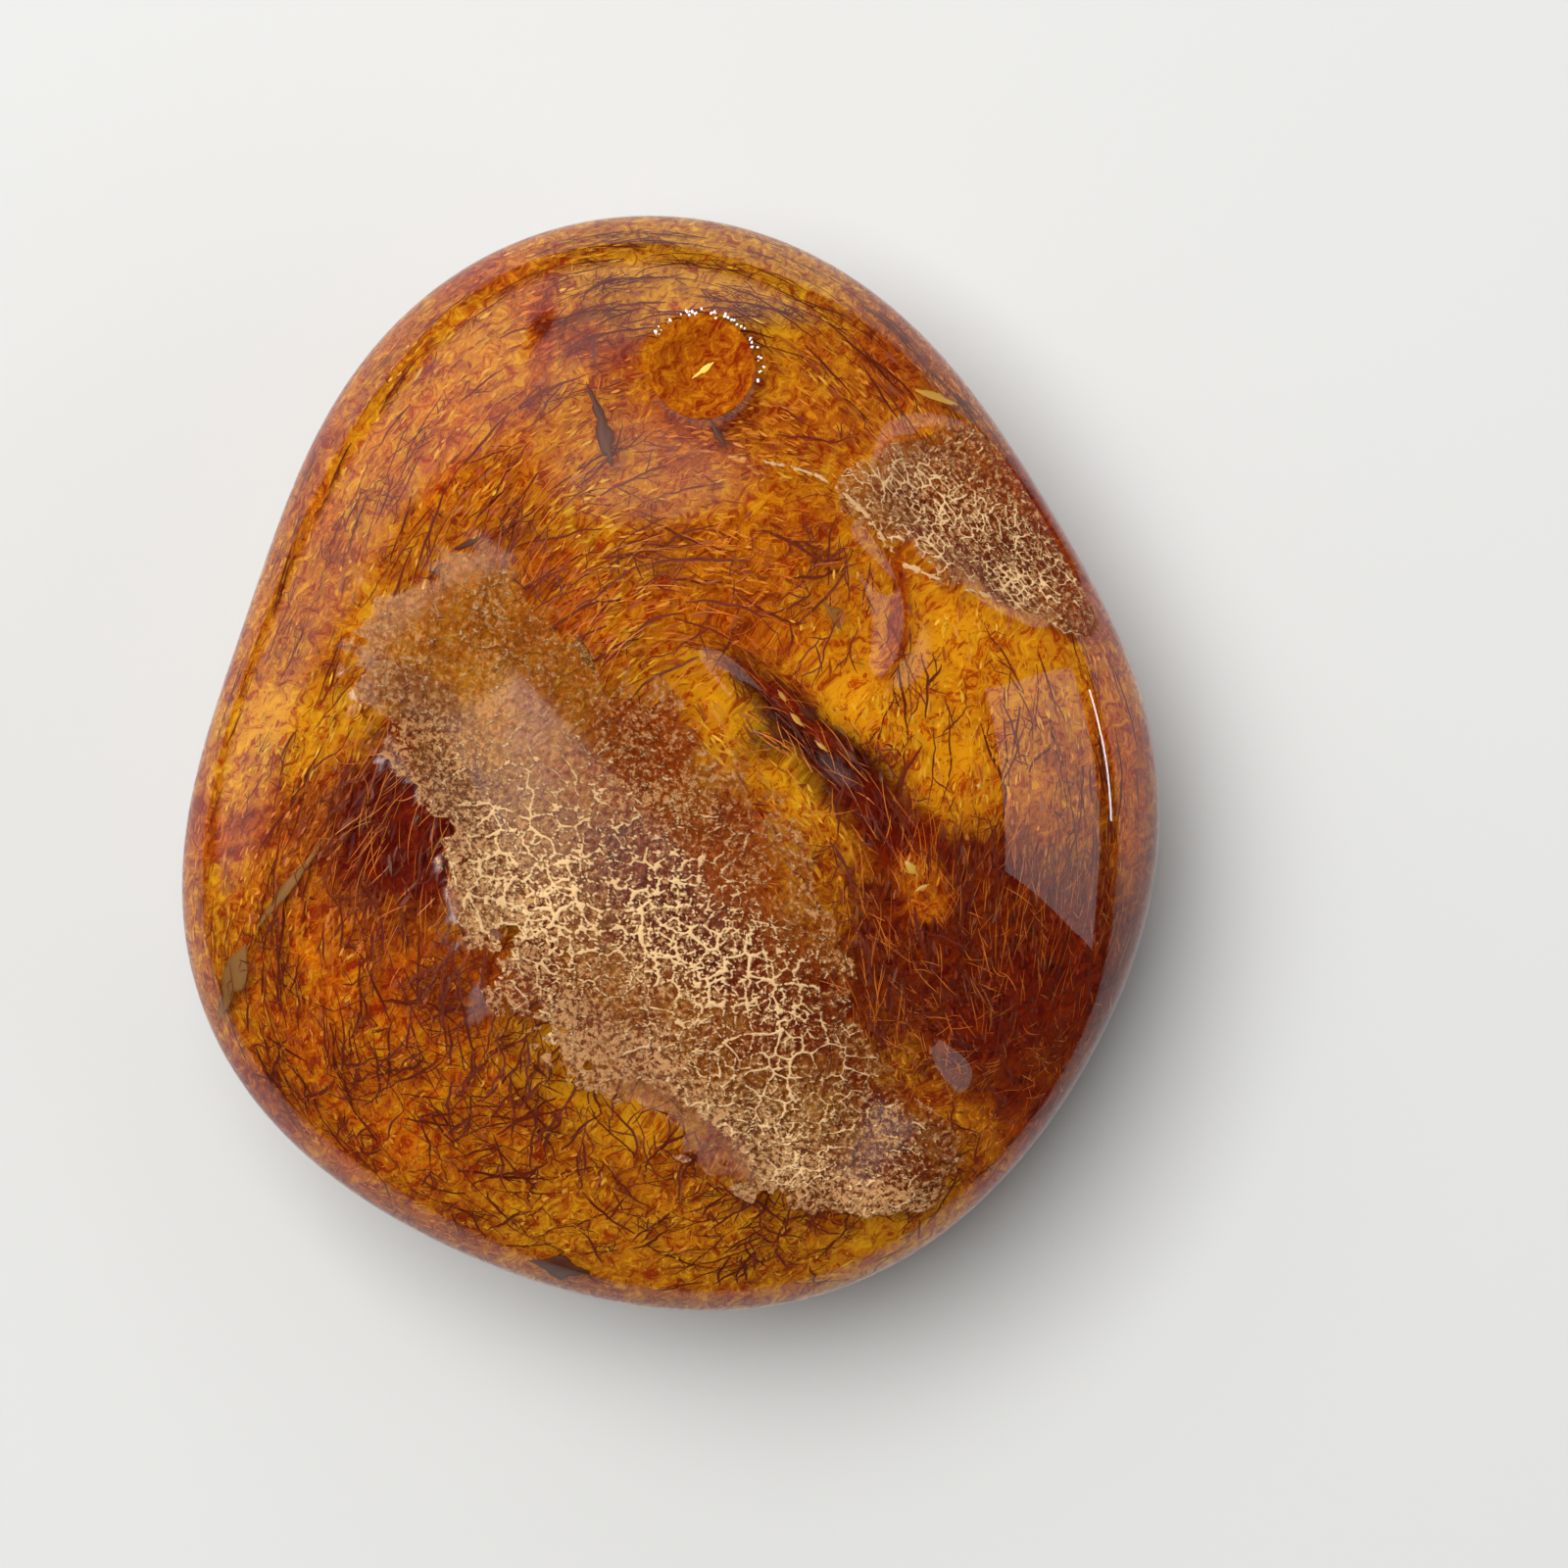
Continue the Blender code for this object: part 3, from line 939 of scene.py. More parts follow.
def twigs(trails, each, steps, stride, rng):
    """Paths that leave each path at a random sample, at 25 to 70 degrees to it."""
    parents = np.repeat(np.arange(len(trails)), each)
    samples = rng.integers(1, trails.shape[1] - 1, len(parents))
    starts = trails[parents, samples]
    ahead = trails[parents, samples + 1] - starts
    turn = rng.uniform(0.45, 1.2, len(parents)) * rng.choice([-1.0, 1.0], len(parents))
    side = np.cross(starts, ahead)
    headings = ahead * np.cos(turn)[:, None] + side * np.sin(turn)[:, None]
    return walk(starts, headings, steps, stride, 0.16, 0.03, rng)


def flat_material(name, colour, roughness=0.6):
    """One colour all over, for plain pieces and for very small ones."""
    bench = Bench(name)
    bench.principled({"Base Color": (*colour, 1.0), "Roughness": roughness})
    return bench.material


def vein_density(x, y):
    """How dense the veins are at a place."""
    return field_share(x, y, VEIN_FIELDS)


def dark_veins(rng):
    """Long trunks along the flow, two twigs on each, and one finer twig on each of those."""
    grids = []
    for upper, count in ((True, 780), (False, 300)):
        trunks = flow_paths(
            count, vein_density, upper, rng,
            spread=0.35, strides=(0.25, 0.65), steps=11, kink=0.18, curl=0.02,
        )
        sink = one_each((0.15, 0.85), trunks, rng)
        grids.append(ribbon_grid(trunks, sink, one_each((0.08, 0.28), trunks, rng)))
        first = twigs(trunks, each=2, steps=5, stride=0.36, rng=rng)
        twig_sink = np.repeat(sink, 2, axis=0)
        grids.append(ribbon_grid(first, twig_sink, one_each((0.06, 0.15), first, rng)))
        second = twigs(first, each=1, steps=4, stride=0.28, rng=rng)
        grids.append(ribbon_grid(second, twig_sink, one_each((0.05, 0.09), second, rng)))
    return grids


VEIN_COLOUR = (0.20, 0.015, 0.001)
ribbon_mesh("dark_veins", dark_veins(rng), flat_material("vein_brown", VEIN_COLOUR))

# %% [markdown]
# Golden hairs are cracks as fine as a hair, and they are thickest where the stone is darkest.

# %% Golden hairs
HAIR_FIELDS = (
    ((24.0, -14.0), (13.0, 14.0), 0.0, 1.0),
    ((31.0, -8.0), (5.0, 14.0), 0.0, 0.9),
    ((-20.5, -5.0), (7.0, 10.0), -15.0, 0.8),
    ((11.0, 0.0), (10.0, 5.0), -43.0, 0.5),
    ((0.0, 13.0), (14.0, 8.0), -10.0, 0.5),
    ((-16.0, 22.0), (8.0, 9.0), 20.0, 0.4),
    ((16.0, -34.0), (9.0, 4.0), 25.0, 0.8),
    ((-20.0, -24.0), (14.0, 8.0), -45.0, 0.3),
)


def hair_density(x, y):
    """How dense the hairs are at a place."""
    return field_share(x, y, HAIR_FIELDS)


def golden_hairs(rng):
    """Thin single threads that lie more loosely along the flow and curl more than the veins."""
    grids = []
    for upper, count in ((True, 1300), (False, 350)):
        trails = flow_paths(
            count, hair_density, upper, rng,
            spread=0.45, strides=(0.14, 0.55), steps=7, kink=0.03, curl=0.05,
        )
        sink = one_each((0.10, 0.95), trails, rng)
        grids.append(ribbon_grid(trails, sink, one_each((0.035, 0.075), trails, rng)))
    return grids


HAIR_COLOUR = (0.92, 0.27, 0.02)
ribbon_mesh("golden_hairs", golden_hairs(rng), flat_material("hair_gold", HAIR_COLOUR, 0.4))

# %% [markdown]
# ## The crust in the hollows
#
# The tan crust is what is left of the stone's weathered bark. It has dried into a lace of tiny
# cells. A sheet is laid along each hollow's path, just above the skin, and the borders between
# scattered cells lift it. Between them it is a thin mottled film that lets some amber show.

# %% Cells and their borders


def cell_borders(x, y, size, seed):
    """Cells around scattered seeds, one in each square of a grid: how much further the second
    nearest seed is than the nearest one, in cells, which is 0 on a border between two cells."""
    u, v = x / size, y / size
    column, row = np.floor(u), np.floor(v)
    distances = []
    for dx in (-1, 0, 1):
        for dy in (-1, 0, 1):
            seed_u = column + dx + 0.1 + 0.8 * corner_number(column + dx, row + dy, seed)
            seed_v = row + dy + 0.1 + 0.8 * corner_number(column + dx, row + dy, seed + 50.0)
            distances.append(np.hypot(u - seed_u, v - seed_v))
    nearest = np.partition(np.array(distances), 1, axis=0)
    return nearest[1] - nearest[0]


def lace_lines(x, y, size, width, seed):
    """1 on the borders of cells whose shape is pushed about by noise, 0 inside them."""
    shift = size * 0.55
    wx = x + (plan_noise(x, y, size * 0.8, seed + 3.0) - 0.5) * shift
    wy = y + (plan_noise(x, y, size * 0.8, seed + 7.0) - 0.5) * shift
    thickness = width * (0.45 + 1.1 * plan_noise(x, y, size * 1.5, seed + 13.0))
    return np.clip(1.0 - cell_borders(wx, wy, size, seed) / thickness, 0.0, 1.0)


# %% The crust sheets


def hollow_grid(groove, along, across, reach):
    """A grid along a hollow: points on its smooth path, and from there to both sides along the
    path's square direction by shares of the half width."""
    curve, places = smooth_path(groove["path"], along // (len(groove["path"]) - 1))
    ahead = unit(np.gradient(curve, axis=0))
    square = np.stack([-ahead[:, 1], ahead[:, 0]], axis=1)
    knots = np.arange(len(groove["half_widths"]))
    half = np.interp(places, knots, groove["half_widths"])
    shares = np.linspace(-reach, reach, across)
    return curve[:, None, :] + square[:, None, :] * (half[:, None] * shares)[..., None]


SHEET_LIFT = 0.08
LINE_LIFT = 0.18
LEAST_COVER = 0.02


def crust_sheet(name, groove, along, across, reach, pattern, material):
    """The sheet's height is the skin's, plus a hair's breadth, plus a lift on the lines that goes
    by the square root of their strength. Faces with almost no cover are left out."""
    plan = hollow_grid(groove, along, across, reach)
    x, y = plan[..., 0], plan[..., 1]
    lines, cover, cream, film = pattern(x, y)
    lift = SHEET_LIFT + LINE_LIFT * np.sqrt(lines) * cover
    points = np.stack([x, y, crown_height(x, y) + lift], axis=-1)
    faces = grid_faces(*x.shape, wrap=False)
    shown = cover.reshape(-1)[faces].max(axis=1) > LEAST_COVER
    used, inverse = np.unique(faces[shown], return_inverse=True)
    kept = points.reshape(-1, 3)[used]
    piece = make_mesh(name, kept, inverse.reshape(-1, 4).tolist(), material)
    numbers = np.stack([lines, cover, cream, film], axis=-1).reshape(-1, 4)[used]
    set_colours(piece, "crust", numbers)
    set_colours(piece, "ground", wash(x, y, CRUST_GROUND, CRUST_BROWN).reshape(-1, 3)[used])


def broken_lace(x, y, size, width, seed, gaps):
    """Cell borders with gaps: where a coarse noise is below the gaps' value there is no line."""
    kept = smooth_rise(gaps - 0.12, gaps + 0.12, plan_noise(x, y, size * 1.1, seed + 31.0))
    return lace_lines(x, y, size, width, seed) * kept


def inside_rim(x, y, start=0.91, end=0.955):
    """1 on the face and 0 near the outline, where no crust is left."""
    reach = np.hypot(x, y) / plan_radius(np.arctan2(y, x))
    return 1.0 - smooth_rise(start, end, reach)


# %% [markdown]
# The long hollow's lace is thick and cream-coloured along two ridges and thin elsewhere. Each
# pattern gives four numbers for a place: how strong the lines are, how well the crust covers the
# skin, how cream-coloured it is, and how much film lies between its lines.

# %% The long hollow's lace
# The path it lies along, the smooth pink lip at its lower edge, and the ovals of its parts
LACE = {
    "path": (
        (-18.4, 13.4), (-14.6, 6.6), (-8.3, -1.3), (-2.6, -10.0), (2.6, -17.2), (7.0, -23.6),
        (12.5, -27.6), (21.0, -30.6),
    ),
    "half_widths": (6.2, 8.0, 9.8, 12.2, 10.6, 7.6, 6.0, 2.8),
    "taper": 0.35,
}
LIP = ((0.8, -26.6), (5.8, 1.6), -37.0)
CREAM_RIDGES = (((2.0, -13.5), (12.0, 5.0), -42.0), ((-9.5, -9.5), (8.0, 5.0), -60.0))
UPPER_END = ((-10.0, 4.0), (10.0, 8.0), -40.0)
LOW_END = ((8.0, -27.5), (9.0, 3.5), -32.0)


def torn_cover(x, y, share, left, fullness):
    """1 inside and 0 outside an edge that two noises tear. It ends firmly on the hollow's right
    bank and thins out on its left one, and a third noise tears both ends."""
    ragged = share + (plan_noise(x, y, 2.4, 31.0, 5) - 0.5) * 0.9
    ragged += (plan_noise(x, y, 0.7, 61.0, 4) - 0.5) * 0.30
    firm = 1.0 - smooth_rise(0.90, 1.0, ragged)
    thin = 1.0 - smooth_rise(0.55, 1.12, ragged)
    ends = smooth_rise(0.0, 0.6, fullness + (plan_noise(x, y, 1.6, 37.0, 4) - 0.5) * 1.2)
    return np.where(left, thin, firm) * ends * inside_rim(x, y)


def three_laces(x, y, ridge, upper, cream):
    """Big, middling and small cells over one another, each fainter than the one before. They
    have the fewest gaps on the ridges."""
    big = broken_lace(x, y, 1.75, 0.10, 5.0, 0.46 - 0.24 * ridge - 0.12 * upper)
    middling = broken_lace(x, y, 1.05, 0.12, 17.0, 0.50 - 0.16 * ridge - 0.08 * upper)
    small = broken_lace(x, y, 0.60, 0.18, 29.0, 0.54 - 0.10 * cream)
    return np.maximum(np.maximum(big, 0.9 * middling), 0.75 * small)


def main_pattern(x, y):
    """Lines that are strongest where the crust is cream-coloured, which is on the ridges and at
    the low end, and film at the right bank. The lip has neither lines nor film."""
    share, left, fullness = across_path(x, y, LACE)
    cover = torn_cover(x, y, share, left, fullness)
    ridge = np.maximum(bell(x, y, *CREAM_RIDGES[0]), bell(x, y, *CREAM_RIDGES[1]))
    upper, low = bell(x, y, *UPPER_END), bell(x, y, *LOW_END)
    patchy = plan_noise(x, y, 2.6, 41.0)
    cream = np.clip((ridge + 0.6 * low) * (0.40 + 1.1 * patchy) + 0.12, 0.0, 1.0)
    lines = three_laces(x, y, ridge, upper, cream)
    lip = 1.0 - smooth_rise(0.75, 1.15, oval(x, y, *LIP))
    side = np.where(left, 0.0, smooth_rise(0.0, 0.75, share))
    film = 0.38 + 0.36 * side + 0.15 * low - 0.15 * upper + 0.8 * (patchy - 0.5)
    dry = np.clip(lines * (0.35 + 0.8 * cream), 0.0, 1.0) * (1.0 - 0.9 * lip)
    return dry, cover, cream, np.clip(film - lip, 0.0, 1.0)


# %% The shoulder's lace
SHOULDER_LACE = {
    "path": ((11.0, 19.0), (15.6, 19.2), (20.6, 18.8), (25.0, 15.6), (28.4, 12.2), (31.2, 9.4)),
    "half_widths": (1.2, 4.4, 7.0, 6.0, 3.6, 1.4),
    "taper": 0.4,
}
SLOPE_TURN = math.radians(-52.0)
SLOPE_STRETCH = 2.0
SHOULDER_CREAM = ((20.5, 15.6), (11.0, 4.2), -38.0)


def shoulder_pattern(x, y):
    """Cells drawn out along the slope, down to the right, and dense with cream."""
    u = (x * math.cos(SLOPE_TURN) + y * math.sin(SLOPE_TURN)) / SLOPE_STRETCH
    v = y * math.cos(SLOPE_TURN) - x * math.sin(SLOPE_TURN)
    share, _, fullness = across_path(x, y, SHOULDER_LACE)
    ragged = share + (plan_noise(x, y, 1.4, 35.0, 5) - 0.5) * 0.5
    cover = (1.0 - smooth_rise(0.50, 1.0, ragged)) * smooth_rise(0.0, 0.6, fullness)
    wide = broken_lace(u, v, 0.75, 0.14, 8.0, 0.40)
    fine = broken_lace(u, v, 0.40, 0.22, 19.0, 0.42)
    strong = bell(x, y, *SHOULDER_CREAM)
    patchy = (0.28 + plan_noise(x, y, 2.6, 47.0)) * (0.55 + 0.65 * strong)
    lines = np.clip(np.maximum(wide, 0.85 * fine) * patchy, 0.0, 1.0)
    cover = cover * inside_rim(x, y, 0.945, 0.98)
    return lines, cover, np.clip(0.25 + 0.6 * patchy, 0.0, 1.0), 0.25 + 0.3 * patchy


# %% The ridge's crumbs
# The shoulder's crust ends in a thin crumbly line along the ridge below the dimple.
RIDGE = {
    "path": ((0.6, 22.0), (9.2, 20.6), (13.5, 17.7), (16.3, 14.1), (22.1, 12.0), (29.0, 9.8)),
    "half_widths": (0.2, 0.35, 0.5, 0.5, 0.45, 0.3),
    "taper": 0.8,
}


def ridge_pattern(x, y):
    """A broken line: the cover is a coarse noise's high places, close to the path."""
    share, _, fullness = across_path(x, y, RIDGE)
    broken = smooth_rise(0.44, 0.58, plan_noise(x, y, 0.8, 57.0, 4))
    cover = 0.75 * (1.0 - smooth_rise(0.2, 0.9, share)) * broken * fullness * inside_rim(x, y)
    lines = np.maximum(lace_lines(x, y, 0.8, 0.3, 33.0), 1.0 - smooth_rise(0.1, 0.4, share))
    faint = np.full_like(x, 0.1)
    return 0.7 * lines, cover, faint, faint


# %% [markdown]
# Under the lace the hollows have their own washes of colour, from ochre at the upper end to dark
# red-brown between the thick ridges. One material serves all three sheets.

# %% The crust's colours and material
# Middle, half widths, turn, colour, strength
CRUST_GROUND = (
    ((-13.5, 7.5), (8.5, 7.5), -40.0, (0.66, 0.25, 0.016), 1.0),
    ((-14.0, -7.5), (9.0, 2.6), -72.0, (0.36, 0.16, 0.08), 0.9),
    ((-19.0, 4.5), (5.0, 2.0), -40.0, (0.32, 0.15, 0.08), 0.8),
    ((-4.5, 0.0), (8.0, 4.6), -40.0, (0.40, 0.10, 0.007), 0.9),
    ((-1.0, -10.0), (8.0, 5.0), -40.0, (0.15, 0.028, 0.005), 0.9),
    ((5.0, -8.5), (4.5, 3.0), -45.0, (0.36, 0.085, 0.009), 0.9),
    ((-4.5, -21.0), (9.0, 3.2), -38.0, (0.34, 0.13, 0.06), 0.9),
    ((8.0, -28.0), (8.0, 3.6), -30.0, (0.26, 0.10, 0.035), 0.9),
    ((16.5, -27.5), (6.0, 3.0), -30.0, (0.14, 0.026, 0.006), 0.9),
    ((8.5, -20.0), (5.0, 4.0), -40.0, (0.20, 0.045, 0.009), 0.8),
    ((0.8, -26.6), (6.0, 1.9), -37.0, (0.46, 0.23, 0.15), 1.0),
    ((22.0, 16.0), (9.5, 7.5), -45.0, (0.20, 0.045, 0.009), 1.0),
    ((21.0, 21.5), (6.0, 3.0), -30.0, (0.40, 0.11, 0.010), 0.9),
)
CRUST_BROWN = (0.32, 0.10, 0.015)
CRUMB_SHADE = (0.34, 0.22, 0.16, 1.0)
FILM_BEIGES = ((0.42, 0.21, 0.085, 1.0), (0.48, 0.27, 0.11, 1.0))
LINE_CREAMS = ((0.54, 0.31, 0.14, 1.0), (0.72, 0.47, 0.23, 1.0))


def crust_material():
    """The ground's colour, mottled by fine crumbs, beige specks of film over it, and the lines.
    The same crumbs fray the edge and the lines, and lift the surface a little."""
    bench = Bench("tan_crust")
    place = bench.place()
    lines, cover, cream = bench.parts(bench.attribute("crust"))
    film = bench.attribute("crust", 3)
    ground = bench.attribute("ground")
    crumbs = bench.noise(place, 2.4, 4.0, 0.80)
    scales = bench.cell_edge(bench.warped(place, 1.3, 0.35), 0.85)
    line = bench.band(lines + (crumbs - 0.5) * 0.8, 0.20, 0.40)
    shade = bench.blend(1.0, ground, CRUMB_SHADE, "MULTIPLY")
    cracks = bench.band(scales + (crumbs - 0.5) * 0.3, 0.12, 0.03)
    dark = bench.band(crumbs, 0.54, 0.38).greater(cracks * (1 - cream) * 0.8)
    mottled = bench.blend(dark, ground, shade)
    specks = bench.band(crumbs + (film - 0.5) * 0.14, 0.515, 0.555)
    filmed = bench.blend(specks * 0.85, mottled, bench.blend(cream, *FILM_BEIGES))
    tone = bench.blend(line, filmed, bench.blend(cream, *LINE_CREAMS))
    edge = bench.band(cover + (crumbs - 0.5) * 1.1, 0.30, 0.48)
    alpha = (line * 0.9).greater(specks * 0.60 + dark * 0.30 + film * 0.22 + 0.22) * edge
    inputs = {"Base Color": tone, "Alpha": alpha.clamped(), "Roughness": 0.75}
    inputs["Specular IOR Level"] = 0.2
    inputs["Normal"] = bench.bump(line * 0.8 + crumbs, 0.16)
    bench.principled(inputs)
    return bench.material


# Name, path, points along and across, reach in half widths, pattern
SHEETS = (
    ("crust_lace", LACE, 490, 194, 1.06, main_pattern),
    ("shoulder_crust", SHOULDER_LACE, 340, 200, 1.0, shoulder_pattern),
    ("ridge_crust", RIDGE, 250, 20, 1.0, ridge_pattern),
)
crust = crust_material()
for sheet in SHEETS:
    crust_sheet(*sheet, crust)

# %% [markdown]
# No wheel reaches the hollows, so the skin stays rough there. The two covers give one number for
# each vertex of the skin, and the amber's roughness reads it.

# %% Matte places on the skin
skin_x, skin_y = skin_points[:, 0], skin_points[:, 1]
covers = np.maximum(main_pattern(skin_x, skin_y)[1], shoulder_pattern(skin_x, skin_y)[1])
on_face = skin_points[:, 2] > RING_HEIGHT
matte_numbers = np.zeros((len(skin_points), 4))
matte_numbers[:, 3] = covers * on_face
set_colours(stone, "matte", matte_numbers)
print("Share of the skin's vertices that are matte:", round(float(matte_numbers.mean() * 4), 3))

# %% [markdown]
# ## Flakes, crumbs and painted sparkles
#
# Bits of bark and wood were caught in the resin: a dark shard, a few crumbs, some grey and gold
# flakes. Each is a ball squashed to its length, width and thickness, with a ragged edge from
# noise, and its points follow the skin at a set depth below it. The dimple's floor, a disc of
# clean deep orange that is a painted reflection, the bowl mirroring nothing bright, and the
# pale specks on its rim, which are painted highlights, lie just above the skin instead.

# %% Bits in the resin
# Place, length, width and thickness, turn in degrees, depth
DARK_BITS = (
    ((-5.5, 24.9), (3.6, 0.8, 0.3), -66.0, 0.8),
    ((-5.0, 22.9), (3.0, 1.3, 0.4), -78.0, 0.8),
    ((-4.6, 21.2), (1.3, 0.4, 0.2), -70.0, 0.8),
    ((3.1, 23.1), (2.4, 0.7, 0.3), -62.0, 0.6),
    ((-6.2, 7.4), (2.6, 0.9, 0.5), -65.0, 0.3),
    ((-14.6, 15.4), (2.6, 0.5, 0.3), 24.0, 0.4),
    ((-16.8, 13.6), (1.8, 0.4, 0.3), 46.0, 0.4),
    ((-8.6, -36.4), (4.2, 1.9, 0.5), -12.0, 0.8),
    ((9.4, 3.4), (1.8, 0.6, 0.3), -45.0, 0.7),
    ((12.6, 0.2), (2.2, 0.7, 0.3), -45.0, 0.7),
    ((0.4, -8.6), (1.2, 0.5, 0.2), 20.0, 0.2),
    ((3.9, -10.6), (1.4, 0.6, 0.2), -10.0, 0.2),
    ((13.0, -28.6), (1.1, 0.8, 0.2), 0.0, 0.2),
)
GREY_BITS = (
    ((-31.6, -15.6), (5.2, 2.2, 0.4), 68.0, 0.9),
    ((11.0, 10.4), (2.4, 0.5, 0.3), -60.0, 2.0),
    ((-27.5, -9.0), (9.0, 0.8, 0.2), 52.0, 1.2),
    ((11.2, 10.6), (1.2, 0.7, 0.3), 10.0, 2.0),
)
GOLD_BITS = (
    ((2.0, 28.0), (1.8, 0.5, 0.10), 38.0, -0.12),
    ((18.6, 26.4), (3.2, 0.6, 0.2), -18.0, 0.5),
    ((8.6, 2.9), (1.6, 0.5, 0.2), -48.0, 0.5),
    ((10.4, 1.0), (1.3, 0.4, 0.2), -40.0, 0.5),
    ((7.6, 4.6), (1.0, 0.4, 0.2), -55.0, 0.5),
    ((16.8, -7.6), (1.6, 0.7, 0.2), -50.0, 0.6),
    ((17.6, -9.0), (1.2, 0.5, 0.2), 30.0, 0.6),
    ((21.6, -1.8), (0.7, 0.4, 0.2), 70.0, 0.3),
    ((-18.4, 27.6), (1.5, 0.3, 0.1), 60.0, 0.4),
)


def bits(name, rows, material, rings=10, around=18, even=False):
    """Each bit's own x is half its length, times the level share, times the cosine of the
    angle, and its y and z go the same way. The plan place is turned and moved, and the height is
    the skin's there, less the bit's depth. An even bit has no ragged edge and no points."""
    places, sizes, turns, depths = zip(*rows)
    steps = np.linspace(0.0, math.pi, rings)
    angles = np.linspace(0.0, 2.0 * math.pi, around, endpoint=False)
    up, angle = np.meshgrid(np.cos(steps), angles, indexing="ij")
    level = np.sqrt(1.0 - np.clip(up * up, 0.0, 1.0))
    half = np.array(sizes)[:, None, None, :] / 2.0
    turn = np.radians(turns)[:, None, None]
    seed = np.arange(len(rows))[:, None, None] * 5.0
    edge_x, edge_y = 2.0 * np.cos(angle) + seed, 2.0 * np.sin(angle) + seed
    ragged = 0.5 + plan_noise(edge_x, edge_y, 0.9, 3.0)
    pointed = 1.0 - 0.55 * np.abs(np.cos(angle))
    if even:
        ragged, pointed = 1.0, 1.0
    u = half[..., 0] * level * np.cos(angle) * ragged
    v = half[..., 1] * level * np.sin(angle) * ragged * pointed
    x = u * np.cos(turn) - v * np.sin(turn) + np.array(places)[:, 0, None, None]
    y = u * np.sin(turn) + v * np.cos(turn) + np.array(places)[:, 1, None, None]
    z = crown_height(x, y) - np.array(depths)[:, None, None] + half[..., 2] * up
    points = np.stack([x, y, z], axis=-1).reshape(-1, 3)
    faces = grid_faces(rings, around, wrap=True)
    offsets = np.arange(len(rows))[:, None, None] * rings * around
    return make_mesh(name, points, (faces[None] + offsets).reshape(-1, 4).tolist(), material)


bits("dark_bits", DARK_BITS, flat_material("bark_brown", (0.13, 0.026, 0.006)))
bits("grey_bits", GREY_BITS, flat_material("wood_grey", (0.36, 0.17, 0.04)))
bits("gold_bits", GOLD_BITS, flat_material("flake_gold", (0.85, 0.50, 0.08), 0.3))

# %% The dimple's painted reflection
# One round bit, with the cloud's material in an orange of its own. It is a painted reflection:
# laid over the skin's sheen, it shows the deep orange of a bowl that mirrors nothing bright
DIMPLE_REFLECTION_ORANGE = (0.26, 0.055, 0.001)
PAINTED_DIMPLE_DISC = ((DIMPLE_CENTRE, (7.6, 7.6, 0.05), 0.0, -0.04),)
dimple_painted_reflection = bits("dimple_painted_reflection", PAINTED_DIMPLE_DISC, cloud_material(), 16, 64, even=True)
set_colours(dimple_painted_reflection, "wash", np.tile(DIMPLE_REFLECTION_ORANGE, (len(dimple_painted_reflection.data.vertices), 1)))

# %% Painted sparkles along the dimple's rim
SPARKLE_COUNT = 46
SPARKLE_ARC = (-18.0, 152.0)
SPARKLE_SIZES = (0.10, 0.34)
SPARKLE_WHITE = (0.90, 0.86, 0.84)


def one_rim_sparkle(angle, reach, size):
    """One painted sparkle: its place on the rim, its size, its turn, and how deep it lies."""
    turn = math.radians(angle)
    place = (DIMPLE_CENTRE[0] + reach * math.cos(turn), DIMPLE_CENTRE[1] + reach * math.sin(turn))
    return place, (size, size * 0.8, size * 0.6), angle, -0.01


sparkle_angles = rng.uniform(*SPARKLE_ARC, SPARKLE_COUNT)
sparkle_reaches = DIMPLE_RADIUS * rng.normal(0.97, 0.035, SPARKLE_COUNT)
sparkle_sizes = rng.uniform(*SPARKLE_SIZES, SPARKLE_COUNT)
sparkles = [one_rim_sparkle(*numbers) for numbers in zip(sparkle_angles, sparkle_reaches, sparkle_sizes)]
# White specks along the dimple's rim: painted highlights, the rim's sparkle
bits("rim_sparkles", sparkles, flat_material("sparkle_white", SPARKLE_WHITE, 0.25), 6, 8)

# %% [markdown]
# ## Floor, light and camera
#
# The stone lies on a plain pale floor, and the camera looks straight down on it. One strong lamp
# lights the inside but leaves no mirror spot on the skin, as a lamp behind a polarising filter
# does. A broad dim panel lays a haze over the left of the face, a small window a paler shape on
# the right, and a thin strip the bright line along the right rim.

# %% Floor
FLOOR_HALF_SIDE = 3.0
FLOOR_GREY = (0.53, 0.53, 0.518)


def make_floor(half_side):
    """A level square of four corners."""
    mesh = bpy.data.meshes.new("floor")
    corners = [(-half_side, -half_side, 0), (half_side, -half_side, 0)]
    corners += [(half_side, half_side, 0), (-half_side, half_side, 0)]
    mesh.from_pydata(corners, [], [(0, 1, 2, 3)])
    mesh.materials.append(flat_material("pale_floor", FLOOR_GREY, 0.7))
    floor = bpy.data.objects.new("floor", mesh)
    bpy.context.scene.collection.objects.link(floor)


make_floor(FLOOR_HALF_SIDE)

# %% Lights


def soften(lamp, plateau):
    """Lets the lamp fade towards its edge: full up to the plateau's share of the way out, and
    nothing at the edge."""
    lamp.use_nodes = True
    tree = lamp.node_tree
    place = tree.nodes.new("ShaderNodeNewGeometry").outputs["Parametric"]
    away = tree.nodes.new("ShaderNodeVectorMath")
    away.operation = "DISTANCE"
    away.inputs[1].default_value = (0.5, 0.5, 0.0)
    tree.links.new(place, away.inputs[0])
    fade = tree.nodes.new("ShaderNodeMapRange")
    fade.interpolation_type = "SMOOTHSTEP"
    fade.inputs["From Min"].default_value = 0.5 * plateau
    fade.inputs["From Max"].default_value = 0.5
    fade.inputs["To Min"].default_value = 1.0
    fade.inputs["To Max"].default_value = 0.0
    tree.links.new(away.outputs["Value"], fade.inputs["Value"])
    tree.links.new(fade.outputs["Result"], tree.nodes["Emission"].inputs["Strength"])


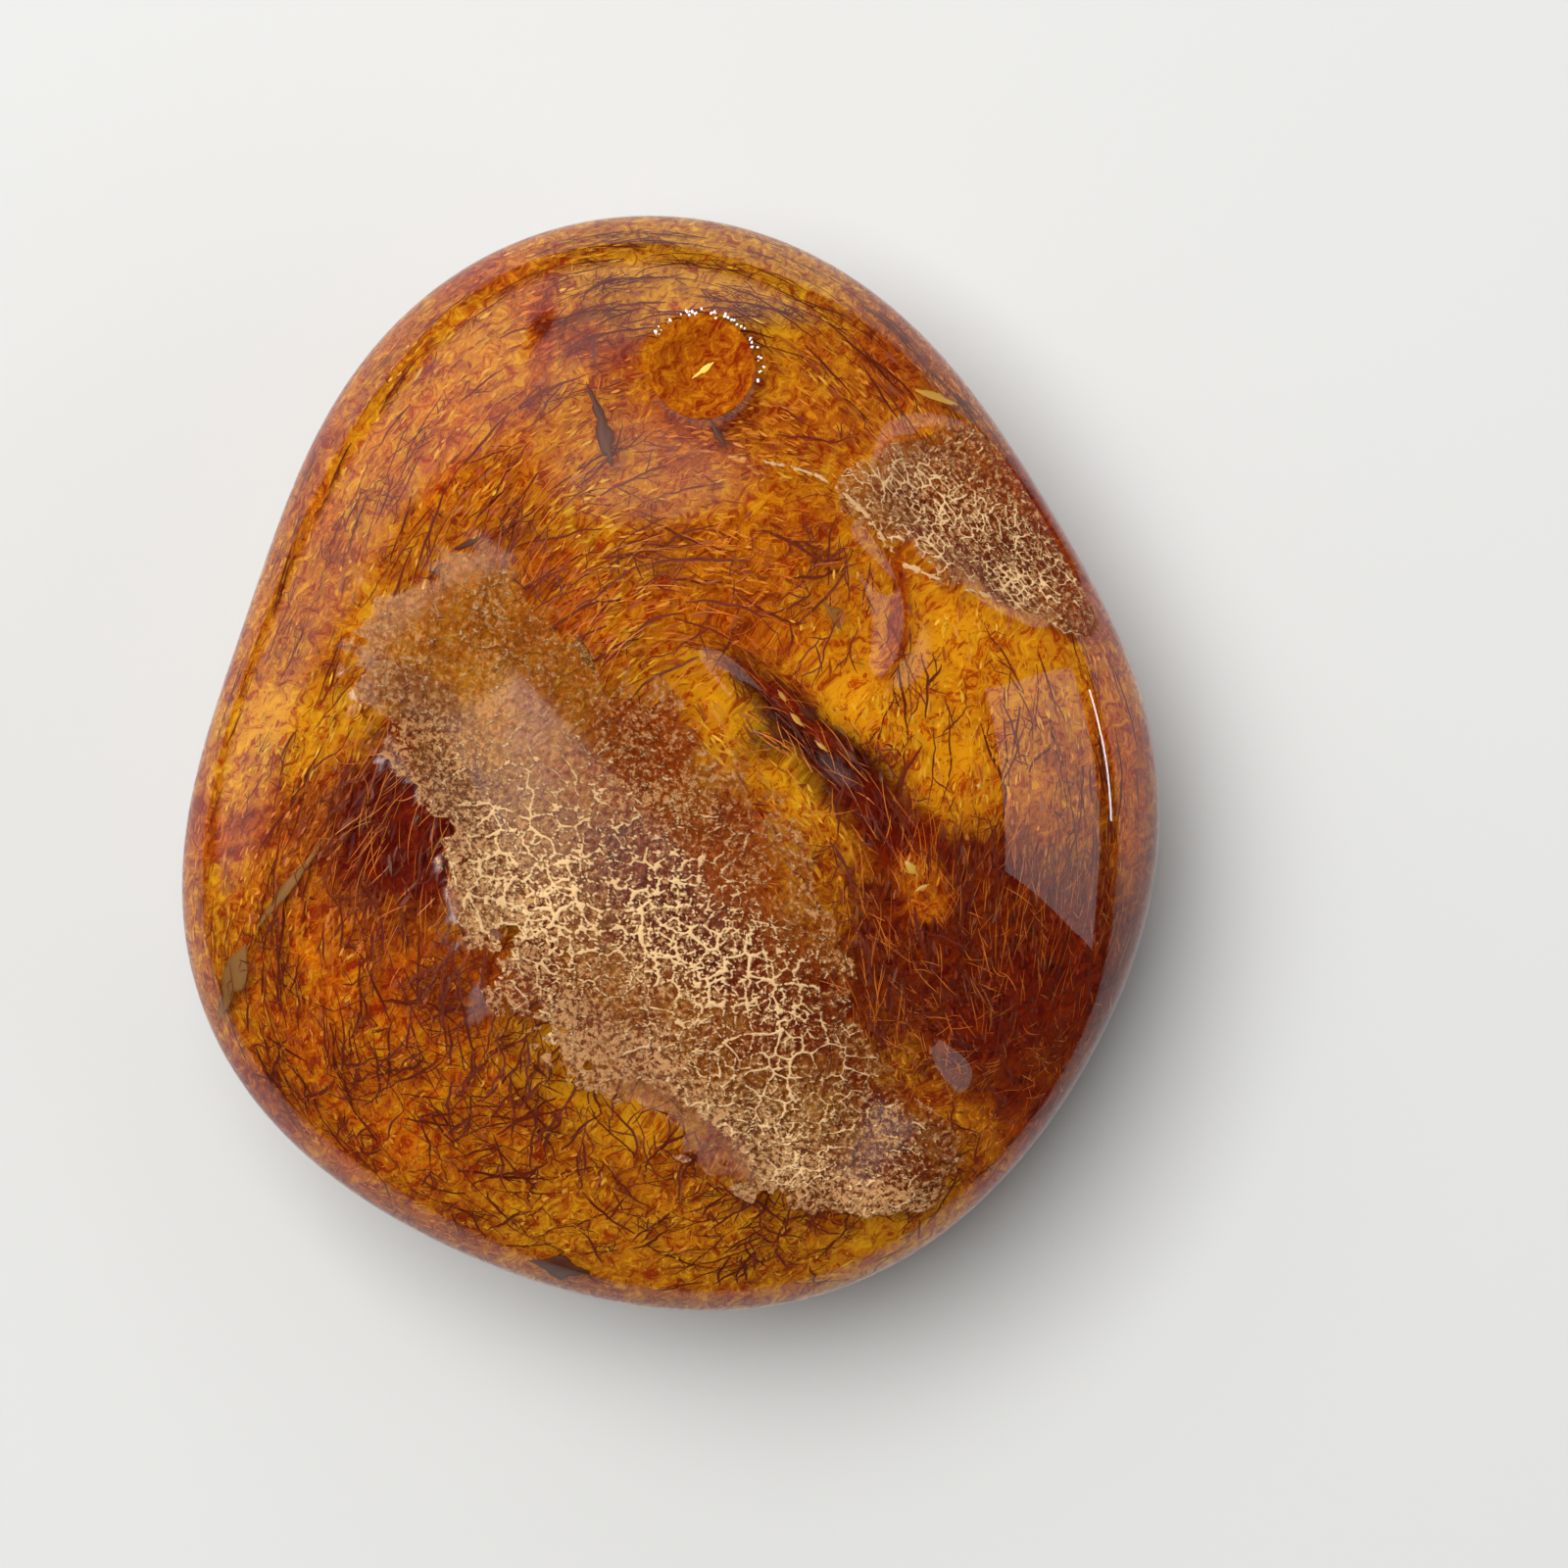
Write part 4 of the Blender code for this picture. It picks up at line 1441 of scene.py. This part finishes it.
def soft_light(name, azimuth, elevation, distance, size, radiance, plateau=1.0, glare=True):
    """A rectangular lamp that faces the stone. Its power is radiance times area times pi, and
    without glare no surface mirrors it."""
    lamp = bpy.data.lights.new(name, "AREA")
    lamp.shape = "RECTANGLE"
    lamp.size, lamp.size_y = size
    lamp.energy = radiance * size[0] * size[1] * math.pi
    if plateau < 1.0:
        soften(lamp, plateau)
    holder = bpy.data.objects.new(name, lamp)
    bpy.context.scene.collection.objects.link(holder)
    turn, rise = math.radians(azimuth), math.radians(elevation)
    level = distance * math.cos(rise)
    holder.location = (level * math.cos(turn), level * math.sin(turn), distance * math.sin(rise))
    holder.rotation_euler = (math.pi / 2 - rise, 0.0, turn + math.pi / 2)
    holder.visible_camera = False
    holder.visible_glossy = glare
    print(name, round(lamp.energy, 2), "watts")


# Name, compass angle, angle up, distance and size in metres
soft_light("polarised_lamp", 140, 68, 1.2, (0.9, 0.9), radiance=9.1, glare=False)
soft_light("sky_panel", 118, 38, 1.0, (3.6, 1.05), radiance=1.0, plateau=0.6)
soft_light("window", -1, 30, 0.9, (0.78, 0.62), radiance=1.15)
soft_light("strip_lamp", 8, 4, 1.0, (0.36, 0.02), radiance=12.0)

ROOM_GREY = 0.025
world = bpy.data.worlds.new("room")
world.use_nodes = True
room_light = world.node_tree.nodes["Background"].inputs["Color"]
room_light.default_value = (ROOM_GREY, ROOM_GREY, ROOM_GREY, 1.0)
bpy.context.scene.world = world

# %% Camera
# The sensor in millimetres, the picture's width at the stone's widest ring and the camera's
# height over it in metres, and the picture's middle in the stone's own millimetres
SENSOR = 36.0
FRAME_WIDTH = 0.1147
CAMERA_HEIGHT = 0.30
PICTURE_CENTRE = (7.74, -1.65)

camera_data = bpy.data.cameras.new("camera")
camera_data.sensor_width = SENSOR
camera_data.lens = SENSOR * CAMERA_HEIGHT / FRAME_WIDTH
camera = bpy.data.objects.new("camera", camera_data)
bpy.context.scene.collection.objects.link(camera)
camera.location = (*to_frame((*PICTURE_CENTRE, 0.0))[:2], CAMERA_HEIGHT + RING_HEIGHT * MM)
bpy.context.scene.camera = camera
bpy.context.scene.view_settings.view_transform = "Standard"
